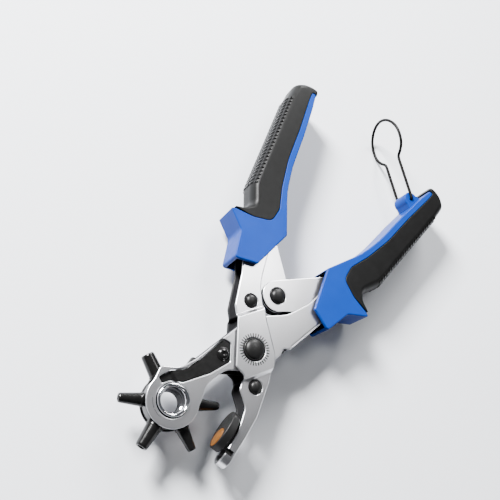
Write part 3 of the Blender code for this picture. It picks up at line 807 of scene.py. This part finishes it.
TAIL_CORNERS = (
    (34.2, 61.0, 6), (30.5, 66.5, 6), (19.5, 65.5, 6), (15.2, 48.0, 30),
    (7.0, 32.4, 20), (-4.0, 22.9, 8), (-11.5, 17.5, 6), (-15.6, 4.0, 6),
    (-25.2, -25.5, 14), (-29.8, -34.2, 10), (-39.4, -40.2, 3.5), (-38.3, -46.6, 0),
)
THROAT_CORNERS = (
    (-10.0, -41.0, 0), (-12.3, -32.5, 12), (-7.4, -19.6, 10), (-1.0, -15.4, 6),
    (8.2, -9.8, 8), (15.9, 8.0, 12), (15.4, 13.2, 1.5), (19.4, 15.2, 1.5),
    (20.0, 17.2, 1),
)
HEAD_RADIUS = 15.2
HEAD_FROM = 169
HEAD_TO = 385
HUB_BARREL_RADIUS = 7.9
HUB_FLANGE = 9.2
HUB_ROOM = 0.4
SCREW_HOLE = 1.8
WINDOW_CORNERS = (
    (-18.2, -5.4, 2.5), (-13.4, -4.8, 2), (-7.9, -14.2, 1.5), (-14.0, -26.8, 8),
    (-24.0, -40.2, 3), (-30.5, -43.6, 4), (-33.6, -47.6, 0.8), (-36.8, -45.6, 0.8),
    (-33.2, -38.4, 2), (-27.0, -33.4, 8), (-22.6, -23.0, 12),
)
# The web folds down along this line of the outline, with this bend radius
WEB_LINE = ((19.9, 17.6), (29.6, 46.0))
WEB_BEND = 1.7
WEB_THICKNESS = 2.0


def turret_lever_plate(window):
    """A plate of the turret lever, with the spring's window or else only its screw hole."""
    holes = [
        circle(MAIN_PIVOT, SHANK_HOLE),
        circle(RIGHT_PIVOT, SHANK_HOLE),
        circle(HUB, HUB_FLANGE + HUB_ROOM, 72),
        rounded(WINDOW_CORNERS) if window else circle(INDEX_SCREW, SCREW_HOLE),
    ]
    head = arc(HUB, HEAD_RADIUS, HEAD_FROM, HEAD_TO, radians(4))
    outline = rounded(THROAT_CORNERS + TAIL_CORNERS, closed=False) + head
    outline = spaced(turning_left(outline), 2.0)
    away = [distance_to(WEB_LINE, point) for point in outline]
    rims = [RIM + (WEB_BEND - RIM) * (1 - smoothstep((d - 0.6) / 2.0)) for d in away]
    return slab(outline, PLATE_IN, PLATE_OUT, rims, holes, segments=5)


def make_turret_lever():
    """Both plates joined by the folded web along their outer edge."""
    far_side = [(x - WEB_THICKNESS, y + 0.6) for x, y in WEB_LINE[::-1]]
    half = PLATE_OUT - WEB_BEND - 0.1
    web = slab(list(WEB_LINE) + far_side, -half, half, HIDDEN_RIM)
    lever = boolean(turret_lever_plate(True), web, "UNION")
    # Walls and inner faces get the near-black painted shade, except along the web's bend, which keeps
    # the plain steel.
    lever = painted_shade_walls(boolean(lever, mirrored_in_z(turret_lever_plate(False)), "UNION"))
    for face in lever.faces:
        if distance_to(WEB_LINE, face.calc_center_median().to_2d()) < 1.0:
            face.material_index = 0
    steel_piece("turret_lever", lever, "turret_lever", "turret_lever_frame")


LEAF_THICKNESS = 0.9
LEAF_GAP = 0.35
LEAF_TIP = Vector((-35.2, -46.6, 0))
LEAF_MIDDLE = Vector((-24.0, -36.0, 0))
LEAF_STEP_AT = 7.5
LEAF_STEP = 1.1
LEAF_RAMP = 1.2


def make_index_spring():
    """Leaf spring in the front plate's window; its far end steps down to the wheel."""
    window = turning_left(rounded(WINDOW_CORNERS))
    outline = inset_ring(window, [LEAF_GAP] * len(window))
    towards_screw = (Vector((*INDEX_SCREW, 0)) - LEAF_MIDDLE).normalized()
    low = PLATE_IN + LEAF_GAP
    bm = slab(outline, low, low + LEAF_THICKNESS, 0.2, [circle(INDEX_SCREW, 1.6, 24)])
    step_at = LEAF_TIP.dot(towards_screw) + LEAF_STEP_AT
    cut_across(bm, towards_screw, [step_at + LEAF_RAMP * k / 4 for k in range(-4, 5)])
    for vertex in bm.verts:
        along = vertex.co.dot(towards_screw) - step_at
        vertex.co.z -= LEAF_STEP * (1 - smoothstep((along + LEAF_RAMP) / (2 * LEAF_RAMP)))
    piece("click_spring", bm, "turret_lever", [SPRING_STEEL], ["index_spring"])
    make_index_screw(low + LEAF_THICKNESS + 0.05)


def make_index_screw(seat):
    """Round-headed screw with a dimple, its washer face on the seat."""
    shank = 1.3
    screw = [(0, -5.4), (shank, -5.4), (shank, seat)]
    screw += [(4.0, seat), (4.1, seat + 0.25), (3.9, seat + 0.5)]
    screw += [(3.3, seat + 0.55), (3.2, seat + 0.75)]
    screw += [(radius, z) for radius, z in dome(3.1, seat + 0.8, 1.25, 7) if radius > shank]
    screw += [(shank - 0.05, seat + 1.5), (0, seat + 1.2)]
    solid = turned(screw, 48, INDEX_SCREW)
    replaced = ["index_spring_screw"]
    piece("click_spring_screw", solid, "turret_lever", [BLACK_STEEL], replaced)


HUB_BORE = 6.9
HUB_STEP_BORE = 6.1
# The rolled rim, as the middle radius of the roll, its half width and its rise
ROLL_MIDDLE = 8.25
ROLL_HALF = 0.95
ROLL_RISE = 1.1


def make_hub():
    """Flanged eyelet with a rolled rim and a stepped bore, open right through."""
    seat = PLATE_OUT + 0.1
    rolled = [(HUB_BARREL_RADIUS, seat - 0.9), (HUB_FLANGE, seat - 0.9), (HUB_FLANGE, seat + 0.3)]
    for angle in steps_of(10, 170, 9):
        radius = ROLL_MIDDLE + ROLL_HALF * cos(angle)
        rolled.append((radius, seat + 0.4 + ROLL_RISE * sin(angle)))
    upper = rolled + [(HUB_BORE + 0.15, seat - 0.6), (HUB_BORE, seat - 1.2), (HUB_BORE, 3.2)]
    upper += [(HUB_STEP_BORE + 0.2, 3.0), (HUB_STEP_BORE, 2.7)]
    lower = [(HUB_STEP_BORE, -5.0), (HUB_BORE - 0.2, -6.0)]
    lower += [(radius, -z) for radius, z in rolled[::-1]]
    hub = turned(upper + lower, 96, HUB)
    # The bore's wall gets the near-black painted shade in place of the chrome, for its shadow and
    # dark reflection.
    for face in hub.faces:
        reach = (face.calc_center_median().to_2d() - Vector(HUB)).length
        in_bore = reach < HUB_BORE + 0.1 and abs(face.normal.z) < 0.7
        face.material_index = 1 if in_bore else 0
    piece("hub_ring", hub, "turret_lever", [CHROME, PAINTED_SHADE_BLACK], ["hub_eyelet"])


def steps_of(start, end, count):
    """Angles from start to end in degrees, given back in radians."""
    return [radians(start + (end - start) * k / (count - 1)) for k in range(count)]


MARK_RADIUS = 11.5
MARK_ARCS = ((208, 236), (240, 266))
MARK_WIDTH = 0.18


def make_head_marks():
    """Two fine arcs pressed into the head plate beside the hub."""
    arcs = []
    for start, end in MARK_ARCS:
        path = [Vector((x, y, PLATE_OUT)) for x, y in arc(HUB, MARK_RADIUS, start, end)]
        arcs.append(swept(path, MARK_WIDTH / 2, 6))
    piece("head_marks", joined(*arcs), "turret_lever", [SPRING_STEEL], weighted=False)


SPRING_WIRE = 0.7
COIL_RADIUS = 7.4
COIL_TURNS = 3
COIL_STEPS = 40
COIL_LOW = -2.6
COIL_RISE = 5.2
SPRING_FOOT = (6.4, -12.2)
# Where the coil starts, and how far past its whole turns it ends
COIL_START = atan2(-4.0, 6.2)
COIL_EXTRA = radians(150)
SPRING_LEG = 7.0


def make_return_spring():
    """Torsion spring round the bush of the main pivot, one leg against the lower spacer."""
    path = [Vector((*SPRING_FOOT, COIL_LOW))]
    steps = COIL_TURNS * COIL_STEPS
    for index in range(steps + 1):
        share = index / steps
        angle = COIL_START + share * COIL_TURNS * 2 * pi + share * COIL_EXTRA
        height = COIL_RISE * share + COIL_LOW
        path.append(Vector((COIL_RADIUS * cos(angle), COIL_RADIUS * sin(angle), height)))
    along = (path[-1] - path[-2]).normalized()
    path.append(path[-1] + Vector((along.x, along.y, 0)) * SPRING_LEG)
    spring = swept(path, SPRING_WIRE, 10)
    piece("torsion_spring", spring, "turret_lever", [SPRING_STEEL], ["return_spring"])


# -------------------- turret

WHEEL_RADIUS = 14.6
TURRET_HALF = PLATE_IN - 0.3
PUNCH_REACH = 28.45
PUNCH_FOOT = 10.0
PUNCH_SHANK = 3.1
PUNCH_FIRST_ANGLE = 150.8
STATION = 60
# Outer diameter at the tip, outer diameter at the root and bore, in turning order
PUNCHES = (
    (7.4, 8.6, 4.5), (5.2, 7.4, 3.0), (6.8, 8.8, 4.0), (4.7, 7.2, 2.5),
    (4.4, 7.4, 2.0), (6.0, 8.0, 3.5),
)
DETENT_OFFSET = -21.4
DETENT_CIRCLE = 12.1


def punch_profile(tip, root, hole):
    """(radius, distance from the hub): shank, collar, tapered tube and bevelled cutting mouth."""
    shoulder = WHEEL_RADIUS + 0.1
    collar = root / 2 + 0.35
    return [
        (hole / 2, PUNCH_FOOT),
        (PUNCH_SHANK, PUNCH_FOOT),
        (PUNCH_SHANK, shoulder),
        (collar - 0.2, shoulder),
        (collar, shoulder + 0.2),
        (collar, shoulder + 1.5),
        (collar - 0.2, shoulder + 1.7),
        (root / 2, shoulder + 1.9),
        (tip / 2 + 0.1, PUNCH_REACH - 1.2),
        (tip / 2, PUNCH_REACH - 0.8),
        (tip / 2 - 0.25, PUNCH_REACH - 0.15),
        (tip / 2 - 0.45, PUNCH_REACH),
        (hole / 2 + 0.1, PUNCH_REACH),
        (hole / 2, PUNCH_REACH - 0.3),
    ]


def make_turret():
    """Wheel with a detent dimple for each station, and the six punch tubes."""
    half = TURRET_HALF
    profile = [(HUB_BARREL_RADIUS + 0.25, -half), (WHEEL_RADIUS - 0.9, -half)]
    profile += [(WHEEL_RADIUS - 0.25, -half + 0.25), (WHEEL_RADIUS, -half + 0.9)]
    profile += [(radius, -z) for radius, z in profile[::-1]]
    wheel = turned(profile, 96, HUB)
    dimple = [(0, half - 0.7), (0.8, half - 0.5), (1.3, half + 1), (0, half + 1)]
    cutters = []
    for index in range(len(PUNCHES)):
        start = PUNCH_FIRST_ANGLE + STATION * index + DETENT_OFFSET
        place = arc(HUB, DETENT_CIRCLE, start, start)[0]
        cutters.append(turned(dimple, 20, place))
    wheel = boolean(wheel, joined(*cutters), "DIFFERENCE")
    piece("turret_drum", wheel, "turret", [BLACK_STEEL], ["turret_wheel"])
    for index, sizes in enumerate(PUNCHES):
        outward = (PUNCH_FIRST_ANGLE + STATION * index, "Z")
        tube = turned(punch_profile(*sizes), 48)
        tube = posed(tube, Z_ALONG_X, outward, shift=(*HUB, 0))
        name = f"punch_{index + 1}"
        replaced = [f"punch_tube_{index + 1}"]
        piece(name, tube, "turret", [BLACK_STEEL], replaced, sharp=50)


# -------------------- handles

# Corners as (distance from the mirror line of the two handles, y, radius)
GRIP_INNER_EDGE = (
    (52.6, 179.6, 2.0), (49.0, 168.0, 60), (43.3, 145.0, 90), (37.7, 118.0, 90),
    (31.5, 100.0, 60), (16.6, 74.2, 1.8),
)
GRIP_COLLAR_END = (
    (22.3, 45.2, 1.8), (36.2, 39.2, 2.2), (42.5, 56.9, 5), (55.2, 64.9, 1.8),
)
GRIP_SEAM = (
    (52.5, 66.2, 3), (40.5, 69.4, 12), (29.4, 75.5, 6), (29.4, 86.0, 8),
    (36.0, 100.5, 30), (42.9, 121.5, 60), (48.0, 147.0, 90), (54.3, 172.5, 60),
    (55.4, 178.9, 1.4),
)
RUBBER_OUTER_EDGE = (
    (51.7, 180.3, 0.5), (52.2, 185.0, 3.5), (63.8, 183.6, 7), (68.8, 177.8, 7),
    (67.3, 165.0, 20), (60.7, 130.0, 90), (53.4, 90.5, 14), (46.4, 79.0, 6),
    (47.6, 71.5, 5), (54.3, 67.0, 0.5),
)
# Where the rubber wraps round the end of the seam
RUBBER_WRAP = (55.7, 179.3, 1.6)
SEAM_LINE = spaced(rounded(GRIP_SEAM, closed=False), 1.5, closed=False)
SEAM_GAP = 0.25
SEAM_RIM = 0.35
OPEN_RIM = 0.7
RUBBER_ROOM = 0.2
CORE_ROOM = 0.4
# How far in and down the rubber's rim rounds, at the seam and then at the outer edge
RUBBER_RIM = 0.45
RUBBER_RIM_DROP = 0.5
RUBBER_ROLL = 4.8
RUBBER_ROLL_DROP = 7.4
# How far from the seam the rounding starts to grow, and where it is full
ROLL_STARTS = 1.5
ROLL_FULL = 10.0
# The thinner shell beneath the rubber, which starts inside the seam
UNDER_SEAM = 1.5
UNDER_RUBBER = (
    *((t - UNDER_SEAM, y, radius) for t, y, radius in GRIP_SEAM[2:7]),
    (52.4, 170.0, 30), (61.0, 170.0, 3), (62.0, 162.0, 10), (56.4, 130.0, 60),
    (49.2, 92.0, 14), (42.6, 81.0, 6), (42.6, 68.0, 2), (33.0, 68.0, 3),
)
CAVITY = (
    (10.0, 74.0, 0), (16.0, 34.0, 0), (32.6, 33.0, 0), (34.2, 40.0, 1),
    (40.3, 58.0, 2), (43.5, 64.0, 2), (34.5, 69.4, 4), (27.3, 74.8, 4),
    (27.3, 84.5, 3), (25.0, 84.5, 2), (18.5, 73.4, 0),
)
CORE_LINK_RADIUS = 10.0
CORE_CORNERS = (
    (36.2, 54.5, 10), (38.5, 80.0, 40), (46.5, 105.0, 60), (55.8, 148.0, 3),
    (48.5, 150.0, 3), (39.5, 112.0, 60), (29.5, 88.0, 30), (25.0, 77.0, 10),
)


def core_outline():
    """Handle core in grip coordinates: round the link, past the lever pivot, up into the grip."""
    link = arc((0.0, HANDLE_LINK[1]), CORE_LINK_RADIUS, 134, 318, radians(5))
    tang = rounded(((*link[-1], 0), *CORE_CORNERS, (*link[0], 0)), closed=False)
    return link + tang[1:-1]


def place_with(side, points, values):
    """Grip coordinates with a value each, put on one side of the mirror line, turning left."""
    placed = [(HANDLE_AXIS_X + side * t, y) for t, y in points]
    if area(placed) > 0:
        return placed, values
    return placed[::-1], values[::-1]


def place(side, points):
    return place_with(side, points, points)[0]


def make_shell(side, core_half, lug=None):
    """Moulded grip: a full-depth edge and collar, a thinner back for the rubber, hollow inside."""
    outline = spaced(rounded(GRIP_INNER_EDGE + GRIP_COLLAR_END + GRIP_SEAM), 2.5)
    away = [distance_to(SEAM_LINE, point) for point in outline]
    rims = [SEAM_RIM + (OPEN_RIM - SEAM_RIM) * smoothstep((d - 0.5) / 3.0) for d in away]
    placed, rims = place_with(side, outline, rims)
    shell = slab(placed, -GRIP_HALF, GRIP_HALF, rims, segments=4)
    half = UNDER_RUBBER_HALF
    beneath = slab(place(side, rounded(UNDER_RUBBER)), -half, half, 0.3)
    shell = boolean(shell, beneath, "UNION")
    if lug is not None:
        shell = boolean(shell, lug, "UNION")
    inside = GRIP_HALF - GRIP_WALL
    cavity = slab(place(side, rounded(CAVITY)), -inside, inside, CUTTER_RIM)
    # The hollow and the core's slot take the second material, the dark navy painted shade.
    shell = boolean(shell, painted(cavity, 1), "DIFFERENCE")
    core = turning_left(core_outline())
    around = inset_ring(core, [-CORE_ROOM] * len(core))
    half = core_half + 0.3
    slot = slab(place(side, around), -half, half, CUTTER_RIM)
    return boolean(shell, painted(slot, 1), "DIFFERENCE")


def rubber_edges(side):
    """Outline of the rubber with how far its rim rounds in and down at each point."""
    seam = [(t + SEAM_GAP, y, radius) for t, y, radius in GRIP_SEAM[1:-1]]
    outline = spaced(rounded((*seam, RUBBER_WRAP) + RUBBER_OUTER_EDGE), 1.6)
    shares = []
    for point in outline:
        away = distance_to(SEAM_LINE, point) - ROLL_STARTS
        shares.append(smoothstep(away / (ROLL_FULL - ROLL_STARTS)))
    placed, shares = place_with(side, outline, shares)
    rims = [RUBBER_RIM + (RUBBER_ROLL - RUBBER_RIM) * share for share in shares]
    drops = [RUBBER_RIM_DROP + (RUBBER_ROLL_DROP - RUBBER_RIM_DROP) * share for share in shares]
    return placed, rims, drops


def make_rubber_back(side):
    """Rubber wrapped round the grip's back, with room inside for the shell beneath it."""
    placed, rims, drops = rubber_edges(side)
    rubber = slab(placed, -GRIP_HALF, GRIP_HALF, rims, rise=drops, segments=7)
    room = turning_left(rounded(UNDER_RUBBER))
    room = inset_ring(room, [-RUBBER_ROOM] * len(room))
    half = UNDER_RUBBER_HALF + RUBBER_ROOM
    return boolean(rubber, slab(place(side, room), -half, half, HIDDEN_RIM), "DIFFERENCE")


RIB_FIRST_Y = 91.5
RIB_LAST_Y = 164.0
RIBS = 25
RIB_WIDTH = 1.7
RIB_HEIGHT = 0.75
# Ribs over the rim, as (first, last) angle of the roll, and one up the side wall, as heights
RIB_COLUMNS = ((22, 50), (60, 92))
SIDE_COLUMN = (-2.4, -1.9, 0, 1.9, 2.4)


def outer_edge_at(y):
    """(distance from the mirror line, direction) of the rubber's outer edge at a height."""
    line = spaced(rounded(RUBBER_OUTER_EDGE, closed=False), 1.0, closed=False)
    run = [point for point in line if 80.0 < point[1] < 172.0]
    nearest = min(range(1, len(run) - 1), key=lambda index: abs(run[index][1] - y))
    tangent = (Vector(run[nearest - 1]) - Vector(run[nearest + 1])).normalized()
    here = Vector(run[nearest])
    slide = (y - here.y) / tangent.y
    return here + tangent * slide, tangent


def rib(path, along, outward):
    """A short rounded bar that follows a path of points, with its foot sunk into the rubber."""
    bm = bmesh.new()
    rings = []
    profile = ((-0.5, -0.5), (-0.5, 0.35), (-0.25, 1.0), (0.25, 1.0), (0.5, 0.35), (0.5, -0.5))
    for index, (point, normal) in enumerate(zip(path, outward)):
        ends = index in (0, len(path) - 1)
        height = RIB_HEIGHT * (0.35 if ends else 1.0)
        ring = []
        for across, up in profile:
            ring.append(bm.verts.new(point + along * across * RIB_WIDTH + normal * up * height))
        rings.append(ring)
    return capped(bm, rings)


def bend_rib(base, level, up, along, column):
    """Rib over the rounded rim, from one angle of the roll to another."""
    path, outward = [], []
    for angle in steps_of(*column, 6):
        inset = RUBBER_ROLL * (1 - sin(angle))
        height = GRIP_HALF - RUBBER_ROLL_DROP * (1 - cos(angle))
        path.append(base - level * inset + up * height)
        normal = level * RUBBER_ROLL_DROP * sin(angle) + up * RUBBER_ROLL * cos(angle)
        outward.append(normal.normalized())
    return rib(path, along, outward)


def make_ribs(side):
    """Rows of ribs over the rubber's outer edge: two round each rim and one on the side wall."""
    bars = []
    for row in range(RIBS):
        y = RIB_FIRST_Y + (RIB_LAST_Y - RIB_FIRST_Y) * row / (RIBS - 1)
        edge, tangent = outer_edge_at(y)
        along = Vector((side * tangent.x, tangent.y, 0))
        level = Vector((side * tangent.y, -tangent.x, 0))
        base = Vector((HANDLE_AXIS_X + side * edge.x, edge.y, 0))
        for face in (1, -1):
            for column in RIB_COLUMNS:
                bars.append(bend_rib(base, level, Vector((0, 0, face)), along, column))
        path = [base + Vector((0, 0, z)) for z in SIDE_COLUMN]
        bars.append(rib(path, along, [level] * len(path)))
    return joined(*bars)


LUG_HALF = 6.5
LUG_RADIUS = 5.3
WIRE_RADIUS = 1.05


def lug_solid():
    """Boss on the right grip with a blind hole in each end for the wire."""
    outline = [(LOOP_PIVOT[0] + 8.0, LOOP_PIVOT[1] + 6.0)] + arc(LOOP_PIVOT, LUG_RADIUS, 72, 262)
    outline += [(LOOP_PIVOT[0] + 4.5, LOOP_PIVOT[1] - 8.5)]
    solid = slab(outline, -LUG_HALF, LUG_HALF, 0.7, segments=4)
    for sign in (-1, 1):
        low, high = sorted((sign * (LUG_HALF - 3.5), sign * (LUG_HALF + 1)))
        radius = WIRE_RADIUS + 0.3
        hole = turned([(0, low), (radius, low), (radius, high), (0, high)], 28, LOOP_PIVOT)
        solid = boolean(solid, painted(hole, 1), "DIFFERENCE")
    return solid


def core_solid(side, low, high, link_hole):
    """A plate of a handle's core, with its holes for the link and for the lever's pivot; its walls
    and inner faces get the near-black painted shade.
    """
    pivot_hole = circle(RIGHT_PIVOT, LOOSE_HOLE) if side > 0 else circle(LEFT_PIVOT, SHANK_HOLE)
    holes = [circle(HANDLE_LINK, link_hole), pivot_hole]
    return painted_shade_walls(slab(place(side, core_outline()), low, high, 0.4, holes))


def make_handles():
    for side, name, core_half, lug in (
        (-1, "left", TONGUE_HALF, None),
        (1, "right", CLEVIS_OUT, lug_solid()),
    ):
        body = f"{name}_handle"
        shell = make_shell(side, core_half, lug)
        looks = [BLUE, SHADE_BLUE]
        piece(f"{name}_shell", shell, body, looks, [f"{name}_grip_shell"], crisp=True)
        back = make_rubber_back(side)
        piece(f"{name}_rubber", back, body, [RUBBER], [f"{name}_grip_rubber"])
        ribs = make_ribs(side)
        piece(f"{name}_ribs", ribs, body, [RIB_RUBBER], weighted=False)
    tongue = core_solid(-1, -TONGUE_HALF, TONGUE_HALF, SHANK_HOLE)
    steel_piece("left_core", tongue, "left_handle", "left_handle_core")
    front = core_solid(1, CLEVIS_IN, CLEVIS_OUT, LINK_HEAD + SINK)
    steel_piece("right_core_front", front, "right_handle", "right_handle_core_front")
    rear = mirrored_in_z(core_solid(1, CLEVIS_IN, CLEVIS_OUT, LINK_HEAD + SINK))
    steel_piece("right_core_rear", rear, "right_handle", "right_handle_core_rear")


# -------------------- lock loop

LOOP_ANGLE = radians(137.3)
LOOP_LEG_Z = 7.5
LOOP_TIP_Z = LUG_HALF - 2.8
LOOP_LEG = 30.0
# Half of the bulb at the end of the wire loop, as (distance along the loop, height)
BULB_HALF = (
    (33.0, 8.2), (36.2, 12.0), (40.5, 15.0), (46.5, 16.0),
    (52.5, 15.0), (58.0, 11.7), (62.2, 6.4), (63.8, 0.0),
)


def blend(p, q, r, s, t):
    """Catmull-Rom value between q and r, steered by p and s."""
    slope = (r - p) * t
    bend = (2 * p - 5 * q + 4 * r - s) * t * t
    twist = (3 * q - p - 3 * r + s) * t * t * t
    return 0.5 * (2 * q + slope + bend + twist)


def spline(points, steps=8):
    """Smooth curve through all the points but the first and the last, which only steer it."""
    curve = []
    for four in zip(points, points[1:], points[2:], points[3:]):
        for step in range(steps):
            curve.append(tuple(blend(*values, step / steps) for values in zip(*four)))
    return curve + [points[-2]]


def make_lock_loop():
    """Wire bail that swings on the right grip's lug and hooks over the other grip."""
    far_half = [(along, -height) for along, height in BULB_HALF[:-1][::-1]]
    steer = [(LOOP_LEG - 4, LOOP_LEG_Z), (LOOP_LEG, LOOP_LEG_Z)]
    bulb = spline(steer + list(BULB_HALF) + far_half + [(x, -z) for x, z in steer[::-1]])
    corner = [(0.0, LOOP_TIP_Z, 0), (0.0, LOOP_LEG_Z, 1.2), (LOOP_LEG, LOOP_LEG_Z, 0)]
    leg = spaced(rounded(corner, closed=False), 1.5, closed=False)[:-1]
    flat = leg + bulb + [(along, -height) for along, height in leg[::-1]]
    direction = Vector((cos(LOOP_ANGLE), sin(LOOP_ANGLE), 0))
    origin = Vector((*LOOP_PIVOT, 0))
    path = [origin + direction * along + Vector((0, 0, height)) for along, height in flat]
    loop = swept(path, WIRE_RADIUS)
    piece("wire_loop", loop, "lock_loop", [WIRE], ["lock_loop"], weighted=False)


# -------------------- studio

# Softboxes that face the origin of the scene: place and size in metres, and power in watts
SOFTBOXES = (
    ("key", (-1.1, 0.3, 0.8), (0.4, 0.4), 150),
    ("far", (-0.25, 1.1, 0.62), (0.45, 0.35), 26),
    ("back", (0.02, 0.22, 0.41), (0.13, 0.10), 0.8),
    ("rim", (0.9, 0.1, 0.30), (0.8, 0.2), 2),
)
SKY_COLOUR = (0.90, 0.93, 1.0, 1.0)
SKY_STRENGTH = 0.13
FLOOR_HALF = 3.0


def make_softbox(name, place, size, power):
    light = bpy.data.lights.new(name, "AREA")
    light.shape = "RECTANGLE"
    light.size, light.size_y = size
    light.energy = power
    made = linked(name, light)
    made.location = place
    made.rotation_euler = (-made.location).to_track_quat("-Z", "Y").to_euler()


def make_studio():
    bm = bmesh.new()
    bmesh.ops.create_grid(bm, x_segments=2, y_segments=2, size=FLOOR_HALF)
    mesh = as_mesh("floor", bm)
    mesh.materials.append(make_floor())
    floor = linked("floor", mesh)
    world = bpy.data.worlds.new("studio")
    world.use_nodes = True
    background = world.node_tree.nodes["Background"]
    background.inputs["Color"].default_value = SKY_COLOUR
    background.inputs["Strength"].default_value = SKY_STRENGTH
    bpy.context.scene.world = world
    for softbox in SOFTBOXES:
        make_softbox(*softbox)


# The camera, in the pivot frame: where it stands, and its right and up directions
CAMERA_AT = Vector((-92.4, -171.0, 374.8))
CAMERA_RIGHT = Vector((0.77565, 0.47810, 0.41205))
CAMERA_UP = Vector((-0.61661, 0.71336, 0.33303))
CAMERA_LENS = 51.67


def make_camera():
    data = bpy.data.cameras.new("camera")
    data.lens = CAMERA_LENS
    data.sensor_width = 36.0
    data.clip_start = 0.01
    camera = linked("camera", data)
    right = CAMERA_RIGHT.normalized()
    back = right.cross(CAMERA_UP).normalized()
    up = back.cross(right)
    matrix = Matrix((right, up, back)).transposed().to_4x4()
    matrix.translation = CAMERA_AT * MM + PIVOT
    camera.matrix_world = matrix
    bpy.context.scene.camera = camera


make_camera()
make_anvil_lever()
make_anvil()
make_rivets()
make_tick_ring()
make_turret_lever()
make_index_spring()
make_hub()
make_head_marks()
make_return_spring()
make_turret()
make_handles()
make_lock_loop()
make_studio()
